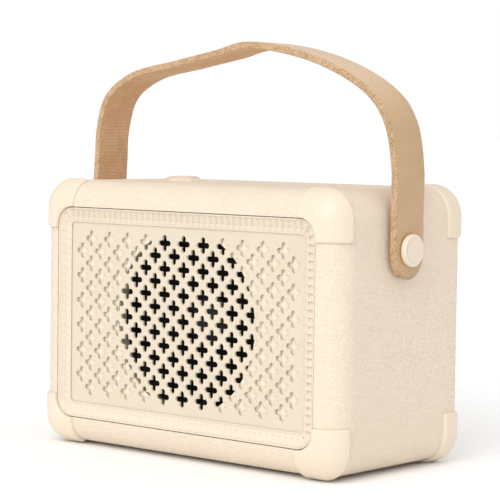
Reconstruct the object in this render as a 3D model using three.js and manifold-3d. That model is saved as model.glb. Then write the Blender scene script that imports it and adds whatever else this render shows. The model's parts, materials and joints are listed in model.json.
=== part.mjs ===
// A small portable radio speaker: a cream moulded box with a leather carrying strap.
// Millimetres, +Z up, the front face looks along -Y. The origin lies on the table, under the box's middle.
import * as THREE from "three";
import { mergeVertices } from "three/addons/utils/BufferGeometryUtils.js";
import Module from "manifold-3d";

const wasm = await Module();
wasm.setup();

// ---------------------------------------------------------------- driving dimensions
const bodyWidth = 130.2; // grained box, left to right
const bodyDepth = 64.6; // front face to rear face
const bodyHeight = 89.2;
const wall = 2.8;
const cornerRadius = 9.5; // edges that run front to back
const frontRadius = 9.0; // edges round the front face
const rearRadius = 2.8; // edges round the rear face

const guardProud = 1.0; // corner guards stand out of the box by this much, and it rests on them
const guardSunk = 0.9; // and sit this deep in its walls
const guardAlong = 16.0; // reach of a guard from the end of the box, across and up
const guardFrontReach = 7.0; // reach back from the front face
const guardRearReach = 8.0; // reach forward from the rear face

const stripAcross = 9.2; // front strip between the box's side and the ribbed frame
const stripUp = 9.1; // and between its top or bottom and the frame
const bezelBand = 4.9; // width of the sloping band round the grille
const bezelInnerRadius = 1.5;
const bezelDrop = 1.3; // the band slopes inwards by this much
const bezelDeep = 4.0; // front face to the frame's back

const plateThick = 0.9; // pierced grille plate
const plateRecess = 1.75;
const plateLap = 1.5; // hidden behind the frame's lip
const bezelLip = 0.25; // thickness of that lip
const holePitch = 8.4; // crosses along a row; rows are half a pitch apart
const crossSpan = (holePitch * 9) / 14;
const crossArm = (holePitch * 3) / 14;

const baffleThick = 2.5;
const baffleMargin = 0.9; // from the box's inner wall
const speakerOpening = 60.0;
const speakerFlange = 70.0;
const speakerScrewCircle = 65.4;
const magnetDiameter = 40.0;
const magnetThick = 8.0;
const coilRadius = 8.0;
const coneDeep = 9.5;
const basketDeep = 17.0;
const flangeThick = 1.4;
const frontPlateThick = 3.0; // steel plates either side of the magnet

const strapWidth = 15.0;
const strapThick = 2.3;
const strapRise = 64.6; // pivot to the strap's middle line at the top
const strapPivotForward = 1.2; // of the middle of the box
const strapPivotDrop = 19.0; // below the top of the box
const strapButtonDiameter = 10.2;
const strapButtonHead = 1.7;
const strapShank = 4.0;
const washerDiameter = 9.2; // between the strap and the box
const strapNutAcross = 7.0;

const powerButtonWidth = 10.8;
const powerButtonDepth = 6.0;
const powerButtonProud = 1.1;
const powerButtonDraft = 1.5; // its sides lean inwards by this much
const powerButtonPlace = -28.0; // left of the middle
const keyDiameter = 6.6;
const keyPlaces = [-8.0, 10.0, 28.0];
const keyProud = -0.15; // the three keys lie just below the top face
const buttonTravel = 0.6;
const buttonFlange = 0.9; // thickness of the flange under the wall
const flangeLap = 0.8; // how far that flange reaches past its hole
const stemDiameter = 3.0;

const boardThick = 1.2;
const batteryDiameter = 18.4;
const batteryLength = 65.2;
const rearCoverThick = 2.2;
const rearCoverSet = 0.5; // the cover lies this much inside the rear edge
const postDiameter = 8.0;
const postInset = 4.6; // a post's middle from the inner walls of its corner
const screwDiameter = 2.2;
const screwHead = 4.0;
const screwHeadThick = 1.3;
const pegDiameter = 2.4; // on the cover, through the main board
const switchHeight = 3.2; // press switches under the buttons
const keyStem = 1.2; // from a button's flange down to its switch
const strapNutThick = 2.4;

// ---------------------------------------------------------------- clearances
const fitGap = 0.3; // between fixed pieces
const slideGap = 0.35; // round anything that moves
const swingGap = 0.35; // between the guards and the strap that swings past them

// ---------------------------------------------------------------- places worked out from them
const halfWidth = bodyWidth / 2;
const halfHeight = bodyHeight / 2;
const front = -bodyDepth / 2;
const rear = bodyDepth / 2;
const middle = guardProud + halfHeight; // height of the box's middle
const top = guardProud + bodyHeight;
const inner = { halfWidth: halfWidth - wall, halfHeight: halfHeight - wall, corner: cornerRadius - wall };
const behind = (depth) => front + depth;

const plateFront = behind(plateRecess);
const plateBack = plateFront + plateThick;
const bezelBack = behind(bezelDeep);
const baffleFront = bezelBack + fitGap;
const baffleBack = baffleFront + baffleThick;
const bezelWidth = bodyWidth - 2 * stripAcross; // ribbed frame, outside
const bezelHeight = bodyHeight - 2 * stripUp;
const openingWidth = bezelWidth - 2 * bezelBand;
const openingHeight = bezelHeight - 2 * bezelBand;
const holeColumns = Math.floor((openingWidth - crossSpan) / holePitch) + 1; // in the longer rows
const holeRows = 2 * Math.floor((openingHeight - crossSpan) / holePitch) + 1;

const strapInside = halfWidth + guardProud + swingGap;
const strapLine = strapInside + strapThick / 2; // half the distance between the legs' middle lines
const pivotY = -strapPivotForward;
const pivotZ = top - strapPivotDrop;

const ARC = 5; // steps in a quarter turn of a rounded edge
const ROUND = 24; // sides of a turned piece
const bond = 0.3; // how far the shapes joined into one piece run into each other

// ---------------------------------------------------------------- solids
function toSolid(geometry) {
  const bare = new THREE.BufferGeometry().setAttribute("position", geometry.getAttribute("position"));
  if (geometry.index) bare.setIndex(geometry.index);
  const merged = mergeVertices(bare, 1e-4);
  const triVerts = new Uint32Array(merged.index.array);
  const vertProperties = new Float32Array(merged.attributes.position.array);
  return new wasm.Manifold(new wasm.Mesh({ numProp: 3, vertProperties, triVerts }));
}

function toGeometry(solid) {
  const mesh = solid.getMesh();
  const geometry = new THREE.BufferGeometry();
  geometry.setAttribute("position", new THREE.BufferAttribute(new Float32Array(mesh.vertProperties), 3));
  geometry.setIndex(new THREE.BufferAttribute(new Uint32Array(mesh.triVerts), 1));
  return geometry;
}

const join = (first, ...others) => toGeometry(others.reduce((s, g) => s.add(toSolid(g)), toSolid(first)));
const cut = (first, ...others) => toGeometry(others.reduce((s, g) => s.subtract(toSolid(g)), toSolid(first)));
const common = (first, second) => toGeometry(toSolid(first).intersect(toSolid(second)));

// Skin over rings of equal length, in order. Open lofts get a flat cap at each end.
function loft(rings, closed = false) {
  const count = rings[0].length;
  const points = rings.flat();
  const faces = [];
  const quad = (a, b, c, d) => faces.push(a, b, c, a, c, d);
  const spans = closed ? rings.length : rings.length - 1;
  for (let i = 0; i < spans; i += 1) {
    const here = i * count;
    const next = ((i + 1) % rings.length) * count;
    for (let k = 0; k < count; k += 1) {
      const m = (k + 1) % count;
      quad(here + k, here + m, next + m, next + k);
    }
  }
  if (!closed) {
    const last = (rings.length - 1) * count;
    for (let k = 1; k < count - 1; k += 1) {
      faces.push(0, k + 1, k);
      faces.push(last, last + k, last + k + 1);
    }
  }
  const geometry = new THREE.BufferGeometry().setFromPoints(points);
  geometry.setIndex(signedVolume(points, faces) < 0 ? faces.reverse() : faces);
  return geometry;
}

function signedVolume(points, faces) {
  let six = 0;
  for (let i = 0; i < faces.length; i += 3) {
    const [a, b, c] = [points[faces[i]], points[faces[i + 1]], points[faces[i + 2]]];
    six += a.dot(new THREE.Vector3().crossVectors(b, c));
  }
  return six;
}

// Rounded rectangle across the box at the given depth.
function section(halfX, halfZ, radius, y, steps = ARC) {
  const ring = [];
  const centres = [[1, 1], [-1, 1], [-1, -1], [1, -1]];
  centres.forEach(([sx, sz], quarter) => {
    for (let i = 0; i <= steps; i += 1) {
      const angle = ((quarter + i / steps) * Math.PI) / 2;
      const x = sx * (halfX - radius) + radius * Math.cos(angle);
      const z = sz * (halfZ - radius) + radius * Math.sin(angle);
      ring.push(new THREE.Vector3(x, y, middle + z));
    }
  });
  return ring;
}

// The box's outer form moved outwards by offset (inwards when negative).
function boxForm(offset) {
  const rings = [];
  const [y0, y1] = [front - offset, rear + offset];
  const rf = frontRadius + offset;
  const rr = Math.max(rearRadius + offset, 0.4);
  const place = (y, inset) => {
    const radius = Math.max(cornerRadius + offset - inset, 0.4);
    rings.push(section(halfWidth + offset - inset, halfHeight + offset - inset, radius, y));
  };
  for (let i = 0; i <= ARC; i += 1) {
    const angle = (i / ARC) * (Math.PI / 2);
    place(y0 + rf * (1 - Math.sin(angle)), rf * (1 - Math.cos(angle)));
  }
  rings.reverse();
  const rearSteps = 4;
  for (let i = 0; i <= rearSteps; i += 1) {
    const angle = (i / rearSteps) * (Math.PI / 2);
    place(y1 - rr * (1 - Math.sin(angle)), rr * (1 - Math.cos(angle)));
  }
  return loft(rings);
}

const prism = (halfX, halfZ, radius, y0, y1, steps = ARC) =>
  loft([section(halfX, halfZ, radius, y0, steps), section(halfX, halfZ, radius, y1, steps)]);

function block(x0, x1, y0, y1, z0, z1) {
  const size = [x1 - x0, y1 - y0, z1 - z0];
  return new THREE.BoxGeometry(...size).translate((x0 + x1) / 2, (y0 + y1) / 2, (z0 + z1) / 2);
}

function rodY(x, z, diameter, y0, y1, sides = 16) {
  const rod = new THREE.CylinderGeometry(diameter / 2, diameter / 2, y1 - y0, sides);
  return rod.translate(x, (y0 + y1) / 2, z);
}

function rodX(y, z, diameter, x0, x1, sides = 16) {
  const rod = new THREE.CylinderGeometry(diameter / 2, diameter / 2, x1 - x0, sides);
  return rod.rotateZ(Math.PI / 2).translate((x0 + x1) / 2, y, z);
}

function rodZ(x, y, diameter, z0, z1, sides = 16) {
  const rod = new THREE.CylinderGeometry(diameter / 2, diameter / 2, z1 - z0, sides);
  return rod.rotateX(Math.PI / 2).translate(x, y, (z0 + z1) / 2);
}

// A turned piece on the speaker's axis: [radius, y] pairs round its outline, which is closed here.
function turned(profile, sides = ROUND) {
  const points = [...profile, profile[0]].map(([r, y]) => new THREE.Vector2(r, y));
  let doubledArea = 0;
  for (let i = 1; i < points.length; i += 1) doubledArea += points[i - 1].cross(points[i]);
  if (doubledArea < 0) points.reverse();
  return new THREE.LatheGeometry(points, sides).translate(0, 0, middle);
}

// ---------------------------------------------------------------- assembly
const radio = new THREE.Group();
radio.name = "portable_radio";

function material(color, roughness, metalness = 0) {
  return new THREE.MeshStandardMaterial({ color, roughness, metalness });
}

const finishes = {
  shell: () => material(0xf0e4d0, 0.55),
  guard: () => material(0xf3e7d4, 0.4),
  grille: () => material(0xecdbc4, 0.45),
  leather: () => material(0xc9a67e, 0.65),
  steel: () => material(0xb8bbbf, 0.35, 1),
  black: () => material(0x1b1a19, 0.6),
  rubber: () => material(0x141312, 0.8),
  board: () => material(0x1f5a3c, 0.5),
  wrap: () => material(0x2d5f9e, 0.4),
  ferrite: () => material(0x2a2a2c, 0.7),
  lens: () => material(0xdfe8ea, 0.1),
};

function add(name, geometry, finish) {
  const mesh = new THREE.Mesh(geometry, finishes[finish]());
  mesh.name = name;
  radio.add(mesh);
}

const sides = [["left", -1], ["right", 1]];
const ends = [["bottom", -1], ["top", 1]];
const corners = ends.flatMap(([endName, sz]) =>
  sides.map(([sideName, sx]) => [`${endName}_${sideName}`, sx, sz]));

// ---------------------------------------------------------------- housing
const bezelCorner = bezelInnerRadius + bezelBand;
const windowHalf = [bezelWidth / 2 + fitGap, bezelHeight / 2 + fitGap];
const frontWindow = () => prism(...windowHalf, bezelCorner + fitGap, front - 3, behind(bezelDeep + 4));
const rearWindow = () => prism(inner.halfWidth, inner.halfHeight, inner.corner, rear - 12, rear + 3);

// The space a guard takes, from the end of the box inwards; grow widens it on its inner sides.
function guardBlock(sx, sz, atRear, grow) {
  const xEdge = halfWidth - guardAlong - grow;
  const zEdge = middle + sz * (halfHeight - guardAlong - grow);
  const far = 10;
  const xs = [sx * xEdge, sx * (halfWidth + far)].sort((a, b) => a - b);
  const zs = [zEdge, middle + sz * (halfHeight + far)].sort((a, b) => a - b);
  const frontSpan = [front - far, behind(guardFrontReach + grow)];
  const ys = atRear ? [rear - guardRearReach - grow, rear + far] : frontSpan;
  return block(...xs, ...ys, ...zs);
}

const postX = inner.halfWidth - postInset;
const postZ = inner.halfHeight - postInset;
const coverBack = rear - rearCoverSet;
const coverFront = coverBack - rearCoverThick;
const baffleHold = { x: 38, z: inner.halfHeight - 2.6 };
const shankHole = strapShank + 2 * fitGap;

function housingShell() {
  const cavityRadius = frontRadius - wall;
  const cavity = [];
  for (let i = 0; i <= ARC; i += 1) {
    const angle = (i / ARC) * (Math.PI / 2);
    const inset = cavityRadius * (1 - Math.sin(angle));
    const y = behind(wall) + cavityRadius * (1 - Math.cos(angle));
    const radius = Math.max(inner.corner - inset, 0.4);
    cavity.push(section(inner.halfWidth - inset, inner.halfHeight - inset, radius, y));
  }
  cavity.push(section(inner.halfWidth, inner.halfHeight, inner.corner, rear + 3));
  const recesses = [];
  for (const atRear of [false, true]) {
    for (const [, sx, sz] of corners) {
      recesses.push(cut(guardBlock(sx, sz, atRear, fitGap), boxForm(-guardSunk)));
    }
  }
  const studHoles = sides.map(([, sx]) => {
    const reach = [sx * (inner.halfWidth - 1), sx * (halfWidth + 1)].sort((a, b) => a - b);
    return rodX(pivotY, pivotZ, shankHole, ...reach);
  });
  const keyHoles = keyPlaces.map((x) => rodZ(x, 0, keyDiameter + 2 * slideGap, top - wall - 1, top + 1));
  const wide = powerButtonWidth / 2 + slideGap;
  const deep = powerButtonDepth / 2 + slideGap;
  const slot = [powerButtonPlace - wide, powerButtonPlace + wide, -deep, deep];
  const powerHole = block(...slot, top - wall - 1, top + 1);
  const holes = [...studHoles, ...keyHoles, powerHole];
  const hollow = cut(boxForm(0), loft(cavity), frontWindow(), ...recesses, ...holes);

  const pilot = screwDiameter + 2 * fitGap;
  const lugFoot = bezelHeight / 2 + 1.2;
  const fixings = [];
  const pilots = [];
  for (const [, sx, sz] of corners) {
    const [x, z] = [sx * postX, middle + sz * postZ];
    fixings.push(rodY(x, z, postDiameter, behind(wall - 1), coverFront - fitGap, 16));
    pilots.push(rodY(x, z, pilot, coverFront - 9, coverFront, 8));
    const lugX = sx * baffleHold.x;
    const zs = [middle + sz * lugFoot, middle + sz * (inner.halfHeight + 0.6)].sort((a, b) => a - b);
    fixings.push(block(lugX - 4, lugX + 4, behind(wall), bezelBack, ...zs));
    pilots.push(rodY(lugX, middle + sz * baffleHold.z, pilot, behind(1.9), bezelBack + 1, 8));
  }
  for (const [, sx] of sides) {
    fixings.push(rodZ(sx * boardHangerX, 0, 5, boardTop + fitGap, top - wall + 1, 12));
    pilots.push(rodZ(sx * boardHangerX, 0, pilot, boardTop, top - wall, 8));
  }
  const within = boxForm(-guardSunk - fitGap);
  return cut(join(hollow, ...fixings.map((piece) => common(piece, within))), ...pilots);
}

// Control board under the top wall, carried by two hangers.
const boardTop = top - wall - fitGap - buttonFlange - keyStem - buttonTravel - 0.2 - switchHeight;
const boardHangerX = 40;

add("housing_shell", housingShell(), "shell");

for (const [depthName, atRear] of [["front", false], ["rear", true]]) {
  for (const [cornerName, sx, sz] of corners) {
    const whole = common(boxForm(guardProud), guardBlock(sx, sz, atRear, 0));
    const cleared = [boxForm(-guardSunk + fitGap), atRear ? rearWindow() : frontWindow()];
    add(`corner_guard_${depthName}_${cornerName}`, cut(whole, ...cleared), "guard");
  }
}

// ---------------------------------------------------------------- sloping frame and grille
// The frame's outline moved out from its inner edge by u, at the given depth behind the front face.
const frameLine = (u, depth) =>
  section(openingWidth / 2 + u, openingHeight / 2 + u, bezelInnerRadius + u, behind(depth));

function bezelFrame() {
  const lip = bezelDrop + bezelLip;
  const pocket = plateLap + fitGap;
  return loft([
    frameLine(0, bezelDrop), frameLine(bezelBand, 0), frameLine(bezelBand, bezelDeep),
    frameLine(pocket, bezelDeep), frameLine(pocket, lip), frameLine(0, lip),
  ], true);
}
add("bezel_frame", bezelFrame(), "shell");

function roundedShape(halfX, halfZ, radius, steps = 4) {
  const flat = section(halfX, halfZ, radius, 0, steps).map((p) => new THREE.Vector2(p.x, p.z - middle));
  return new THREE.Shape(flat);
}

// Extrudes a shape drawn in X and Z from y0 back to y1.
function slab(shape, y0, y1) {
  const flat = new THREE.ExtrudeGeometry(shape, { depth: y1 - y0, bevelEnabled: false, curveSegments: 12 });
  return flat.rotateX(Math.PI / 2).translate(0, y1, middle);
}

function crossHole(x, z) {
  const [long, short] = [crossSpan / 2, crossArm / 2];
  const steps = [
    [long, short], [short, short], [short, long], [-short, long], [-short, short], [-long, short],
    [-long, -short], [-short, -short], [-short, -long], [short, -long], [short, -short], [long, -short],
  ];
  const outline = new THREE.Shape(steps.map(([dx, dz]) => new THREE.Vector2(x + dx, z + dz)));
  return slab(outline, plateFront - 1, plateBack + 1);
}

function grillePlate() {
  const half = [openingWidth / 2 + plateLap, openingHeight / 2 + plateLap];
  const shape = roundedShape(...half, bezelInnerRadius + plateLap);
  const crosses = [];
  for (let row = 0; row < holeRows; row += 1) {
    const short = row % 2 === 0;
    const count = short ? holeColumns - 1 : holeColumns;
    const z = ((row - (holeRows - 1) / 2) * holePitch) / 2;
    for (let i = 0; i < count; i += 1) {
      crosses.push(crossHole((i - (count - 1) / 2) * holePitch, z));
    }
  }
  return cut(slab(shape, plateFront, plateBack), ...crosses);
}
add("grille_plate", grillePlate(), "grille");

// ---------------------------------------------------------------- baffle and speaker
const flangeFront = baffleBack + fitGap;
const flangeBack = flangeFront + flangeThick;
const flangeRadius = speakerFlange / 2;
const speakerScrews = [45, 135, 225, 315].map((deg) => {
  const angle = (deg * Math.PI) / 180;
  return [(speakerScrewCircle / 2) * Math.cos(angle), (speakerScrewCircle / 2) * Math.sin(angle)];
});
const baffleScrews = corners.map(([name, sx, sz]) => [name, sx * baffleHold.x, middle + sz * baffleHold.z]);

function bafflePanel() {
  // the box's inner rounding at this depth limits the panel
  const run = frontRadius - wall - (baffleFront - behind(wall));
  const lost = frontRadius - wall - Math.sqrt((frontRadius - wall) ** 2 - run ** 2);
  const half = [inner.halfWidth - lost - baffleMargin, inner.halfHeight - lost - baffleMargin];
  const panel = slab(roundedShape(...half, inner.corner - lost), baffleFront, baffleBack);
  const padHalf = [openingWidth / 2 + plateLap - fitGap, openingHeight / 2 + plateLap - fitGap];
  const padShape = roundedShape(...padHalf, bezelInnerRadius + plateLap);
  const pad = slab(padShape, plateBack + fitGap, baffleFront + 0.5);
  const holes = [rodY(0, middle, speakerOpening, front, baffleBack + 1, 2 * ROUND)];
  for (const [, x, z] of baffleScrews) holes.push(rodY(x, z, screwDiameter + 2 * fitGap, front, rear, 8));
  for (const [x, z] of speakerScrews) {
    holes.push(rodY(x, middle + z, screwDiameter + 2 * fitGap, plateBack + 0.8, rear, 8));
  }
  for (const [, sx, sz] of corners) {
    holes.push(rodY(sx * postX, middle + sz * postZ, postDiameter + 2 * fitGap, front, rear, 16));
    const cornerX = [sx * postX, sx * (postX + 20)].sort((a, b) => a - b);
    const cornerZ = [middle + sz * postZ, middle + sz * (postZ + 20)].sort((a, b) => a - b);
    holes.push(block(...cornerX, front, rear, ...cornerZ));
  }
  return cut(join(panel, pad), ...holes);
}
add("baffle_panel", bafflePanel(), "shell");

const coneOuter = speakerOpening / 2 - 5.6;
const coneFront = flangeFront - 0.2;
const coneBack = coneFront + coneDeep;
const magnetFront = flangeBack + basketDeep;
const magnetRadius = magnetDiameter / 2;

function speakerBasket() {
  const neck = magnetRadius - 3;
  const seat = speakerOpening / 2 - 0.4;
  const body = turned([
    [seat, flangeFront], [flangeRadius, flangeFront], [flangeRadius, flangeBack], [seat + 1.4, flangeBack],
    [neck + 1.4, magnetFront - fitGap], [coilRadius + 2, magnetFront - fitGap],
    [coilRadius + 2, magnetFront - fitGap - 1.4], [neck, magnetFront - fitGap - 1.4], [seat - 1, flangeBack],
  ]);
  const clear = screwDiameter + 2 * fitGap;
  const holes = speakerScrews.map(([x, z]) => rodY(x, middle + z, clear, front, rear, 8));
  const windows = [0, 90, 180, 270].map((deg) => {
    const cutter = block(14, 40, flangeBack + 3, magnetFront - 4, -8, 8);
    return cutter.rotateY((deg * Math.PI) / 180).translate(0, 0, middle);
  });
  return cut(body, ...holes, ...windows);
}
add("speaker_basket", speakerBasket(), "steel");

const surroundOuter = speakerOpening / 2 - 0.7;
add("speaker_surround", turned([
  [coneOuter + 0.2, coneFront - 0.9], [coneOuter + 1.6, coneFront - 2.2], [coneOuter + 3.2, coneFront - 2.2],
  [coneOuter + 4.7, coneFront - 0.9], [surroundOuter, coneFront - 0.5], [surroundOuter, coneFront + 0.2],
  [coneOuter + 4.2, coneFront - 0.2], [coneOuter + 3.0, coneFront - 1.5], [coneOuter + 1.8, coneFront - 1.5],
  [coneOuter + 0.7, coneFront - 0.2], [coneOuter + 0.2, coneFront - 0.3],
]), "rubber");

add("speaker_cone", turned([
  [coneOuter - 0.1, coneFront], [coneOuter - 0.1, coneFront + 0.7], [coneOuter - 2, coneFront + 1.4],
  [coilRadius, coneBack + 0.8], [coilRadius, coneBack], [coneOuter - 2.4, coneFront + 0.6],
]), "black");

add("voice_coil", turned([
  [coilRadius - 0.35, coneBack - 1.6], [coilRadius - 0.35, magnetFront + 2.2],
  [coilRadius - 0.9, magnetFront + 2.2], [coilRadius - 0.9, coneBack - 1.6],
]), "ferrite");

add("dust_cap", turned([
  [0, coneBack - 5.4], [0, coneBack - 4.8], [4.6, coneBack - 3.9], [8.2, coneBack - 2.0],
  [8.9, coneBack - 2.3], [5.0, coneBack - 4.5],
]), "ferrite");

const magnetStart = magnetFront + frontPlateThick + fitGap;
const yokeStart = magnetStart + magnetThick + fitGap;
const ringOf = (inside, outside, y0, y1) =>
  turned([[inside, y0], [outside, y0], [outside, y1], [inside, y1]]);
const frontPlate = ringOf(coilRadius + 0.4, magnetRadius - 2, magnetFront, magnetFront + frontPlateThick);
add("magnet_front_plate", frontPlate, "steel");
add("ring_magnet", ringOf(coilRadius + 2, magnetRadius, magnetStart, magnetStart + magnetThick), "ferrite");
add("magnet_yoke", turned([
  [0, magnetFront - 1], [coilRadius - 1.6, magnetFront - 1], [coilRadius - 1.6, yokeStart],
  [magnetRadius - 2, yokeStart], [magnetRadius - 2, yokeStart + frontPlateThick],
  [0, yokeStart + frontPlateThick],
]), "steel");

// A pan-head screw along Y whose head bears at headY and whose shank runs forward.
function screwForward(x, z, headY, length) {
  const head = rodY(x, z, screwHead, headY, headY + screwHeadThick, 10);
  const shank = rodY(x, z, screwDiameter, headY - length, headY + 0.4, 8);
  return join(head, shank);
}
speakerScrews.forEach(([x, z], i) => {
  add(`speaker_screw_${i + 1}`, screwForward(x, middle + z, flangeBack + fitGap, 4.2), "steel");
});
baffleScrews.forEach(([name, x, z]) => {
  add(`baffle_screw_${name}`, screwForward(x, z, baffleBack + fitGap, 4.6), "steel");
});

// ---------------------------------------------------------------- strap
const strapTail = 0.025; // the half-round ends are centred this share of the rise below the pivots

// Middle line of the strap from the right end to the left end: across as a share of the distance between
// the legs, backwards in millimetres, and height above the pivot as a share of the rise. The leather hangs a
// little askew: its left leg leans back and its right shoulder leans forward.
const strapMiddle = [
  [1.0, 0.0, -strapTail], [1.0, 0.0, 0.0], [1.0, 0.0, 0.22], [0.998, 0.0, 0.41], [0.98, -2.6, 0.62],
  [0.905, -4.6, 0.75],
  [0.61, -5.0, 0.908], [0.16, -4.0, 0.995], [-0.08, -1.8, 0.957], [-0.37, 0.9, 0.912], [-0.73, 3.3, 0.846],
  [-0.92, 4.9, 0.732], [-0.988, 5.6, 0.56], [-1.0, 5.7, 0.4], [-1.0, 4.6, 0.22], [-1.0, 0.0, 0.0],
  [-1.0, -0.5, -strapTail],
];

function strapRings() {
  const path = new THREE.CatmullRomCurve3(
    strapMiddle.map(([across, back, up]) =>
      new THREE.Vector3(across * strapLine, pivotY + back, pivotZ + up * strapRise)),
    false, "centripetal",
  );
  const rings = [];
  const half = strapWidth / 2;
  const ring = (at, along, halfAcross) => {
    const across = new THREE.Vector3(0, 1, 0).addScaledVector(along, -along.y).normalize();
    const thick = new THREE.Vector3().crossVectors(across, along).normalize();
    return [[-1, -1], [1, -1], [1, 1], [-1, 1]].map(([a, t]) =>
      at.clone().addScaledVector(across, a * halfAcross).addScaledVector(thick, (t * strapThick) / 2));
  };
  const roundEnd = (end, along, outward) => {
    for (let i = 0; i < 6; i += 1) {
      const angle = ((i + 0.25) / 6) * (Math.PI / 2);
      const at = end.clone().addScaledVector(outward, half * Math.cos(angle));
      rings.push(ring(at, along, half * Math.sin(angle)));
    }
  };
  const start = path.getTangentAt(0);
  roundEnd(path.getPointAt(0), start, start.clone().negate());
  const steps = 48;
  for (let i = 0; i <= steps; i += 1) {
    rings.push(ring(path.getPointAt(i / steps), path.getTangentAt(i / steps), half));
  }
  const finish = path.getTangentAt(1);
  const tail = rings.length;
  roundEnd(path.getPointAt(1), finish, finish);
  return rings.slice(0, tail).concat(rings.slice(tail).reverse());
}

function strap() {
  const reach = strapInside + strapThick + 2;
  const holes = sides.map(([, sx]) => {
    const xs = [sx * (strapInside - 2), sx * reach].sort((a, b) => a - b);
    return rodX(pivotY, pivotZ, strapShank + 2 * slideGap, ...xs);
  });
  return cut(loft(strapRings()), ...holes);
}
add("strap", strap(), "leather");

for (const [name, sx] of sides) {
  const span = (a, b) => [sx * a, sx * b].sort((p, q) => p - q);
  const headStart = strapInside + strapThick + slideGap;
  const nutInside = inner.halfWidth - fitGap - strapNutThick;
  const head = rodX(pivotY, pivotZ, strapButtonDiameter, ...span(headStart, headStart + strapButtonHead), 28);
  const shank = rodX(pivotY, pivotZ, strapShank, ...span(nutInside - 0.8, headStart + 0.5), 16);
  add(`strap_button_${name}`, join(head, shank), "guard");
  const washer = cut(
    rodX(pivotY, pivotZ, washerDiameter, ...span(halfWidth + fitGap / 2, strapInside - fitGap / 2), 20),
    rodX(pivotY, pivotZ, shankHole, ...span(halfWidth - 1, strapInside + 1), 16),
  );
  add(`strap_washer_${name}`, washer, "shell");
  const nutCorners = (strapNutAcross * 2) / Math.sqrt(3);
  const nut = cut(
    rodX(pivotY, pivotZ, nutCorners, ...span(nutInside, nutInside + strapNutThick), 6),
    rodX(pivotY, pivotZ, shankHole, ...span(nutInside - 1, nutInside + 4), 16),
  );
  add(`strap_nut_${name}`, nut, "steel");
}

// ---------------------------------------------------------------- top buttons and their board
const flangeTop = top - wall - fitGap;
const stemFoot = flangeTop - buttonFlange - keyStem;

function powerButton() {
  const [hx, hy] = [powerButtonWidth / 2, powerButtonDepth / 2];
  const rect = (z, inset) =>
    [[1, 1], [-1, 1], [-1, -1], [1, -1]].map(([sx, sy]) =>
      new THREE.Vector3(powerButtonPlace + sx * (hx - inset), sy * (hy - inset * 0.55), z));
  const crown = rect(top + powerButtonProud, powerButtonDraft);
  const cap = loft([rect(flangeTop - bond, 0), rect(top + 0.1, 0), crown]);
  const flange = block(
    powerButtonPlace - hx - slideGap - flangeLap, powerButtonPlace + hx + slideGap + flangeLap,
    -hy - slideGap - flangeLap, hy + slideGap + flangeLap, flangeTop - buttonFlange, flangeTop,
  );
  return join(cap, flange, rodZ(powerButtonPlace, 0, stemDiameter, stemFoot, flangeTop - bond, 12));
}
add("power_button", powerButton(), "guard");

const keyNames = ["volume_down_button", "play_button", "volume_up_button"];
keyPlaces.forEach((x, i) => {
  const key = join(
    rodZ(x, 0, keyDiameter, flangeTop - bond, top + keyProud, 20),
    rodZ(x, 0, keyDiameter + 2 * (slideGap + flangeLap), flangeTop - buttonFlange, flangeTop, 16),
    rodZ(x, 0, stemDiameter, stemFoot, flangeTop - bond, 12),
  );
  add(keyNames[i], key, "guard");
});

const [controlHalfX, controlHalfY] = [boardHangerX + 4, 7];
add("control_board", cut(
  block(-controlHalfX, controlHalfX, -controlHalfY, controlHalfY, boardTop - boardThick, boardTop),
  ...sides.map(([, sx]) =>
    rodZ(sx * boardHangerX, 0, screwDiameter + 2 * fitGap, boardTop - 3, boardTop + 1, 10)),
), "board");
sides.forEach(([name, sx]) => {
  const under = boardTop - boardThick - fitGap;
  const screw = join(
    rodZ(sx * boardHangerX, 0, screwHead, under - screwHeadThick, under, 10),
    rodZ(sx * boardHangerX, 0, screwDiameter, under - 0.4, under + 5.2, 8),
  );
  add(`control_board_screw_${name}`, screw, "steel");
});
[powerButtonPlace, ...keyPlaces].forEach((x, i) => {
  const body = block(x - 3, x + 3, -3, 3, boardTop + fitGap, boardTop + switchHeight - 0.9);
  const plunger = rodZ(x, 0, 3.2, boardTop + 1, boardTop + switchHeight, 12);
  add(`tact_switch_${i + 1}`, join(body, plunger), "black");
});

// ---------------------------------------------------------------- battery, main board and rear cover
const floor = guardProud + wall;
const batteryY = coverFront - 4 - batteryDiameter / 2;
const cradleThick = 2.0;
const batteryZ = floor + fitGap + cradleThick + fitGap + batteryDiameter / 2;
const batteryHalf = batteryLength / 2;
add("battery_cell", rodX(batteryY, batteryZ, batteryDiameter, -batteryHalf, batteryHalf, 24), "wrap");
add("battery_cradle", cut(
  block(
    -batteryHalf - 4, batteryHalf + 4,
    batteryY - batteryDiameter / 2 - cradleThick, batteryY + batteryDiameter / 2 + cradleThick,
    floor + fitGap, batteryZ - 1,
  ),
  rodX(batteryY, batteryZ, batteryDiameter + 2 * fitGap, -batteryHalf - fitGap, batteryHalf + fitGap, 24),
), "black");

const [boardHalfX, boardHalfZ] = [34, 15];
const boardZ = middle + 14;
const standoff = 5.2;
const boardRear = coverFront - standoff - fitGap;
const pegs = corners.map(([, sx, sz]) => [sx * (boardHalfX - 4), boardZ + sz * (boardHalfZ - 4)]);
add("main_board", cut(
  block(-boardHalfX, boardHalfX, boardRear - boardThick, boardRear, boardZ - boardHalfZ, boardZ + boardHalfZ),
  ...pegs.map(([x, z]) => rodY(x, z, pegDiameter + 2 * fitGap, boardRear - 3, boardRear + 1, 12)),
), "board");

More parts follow.
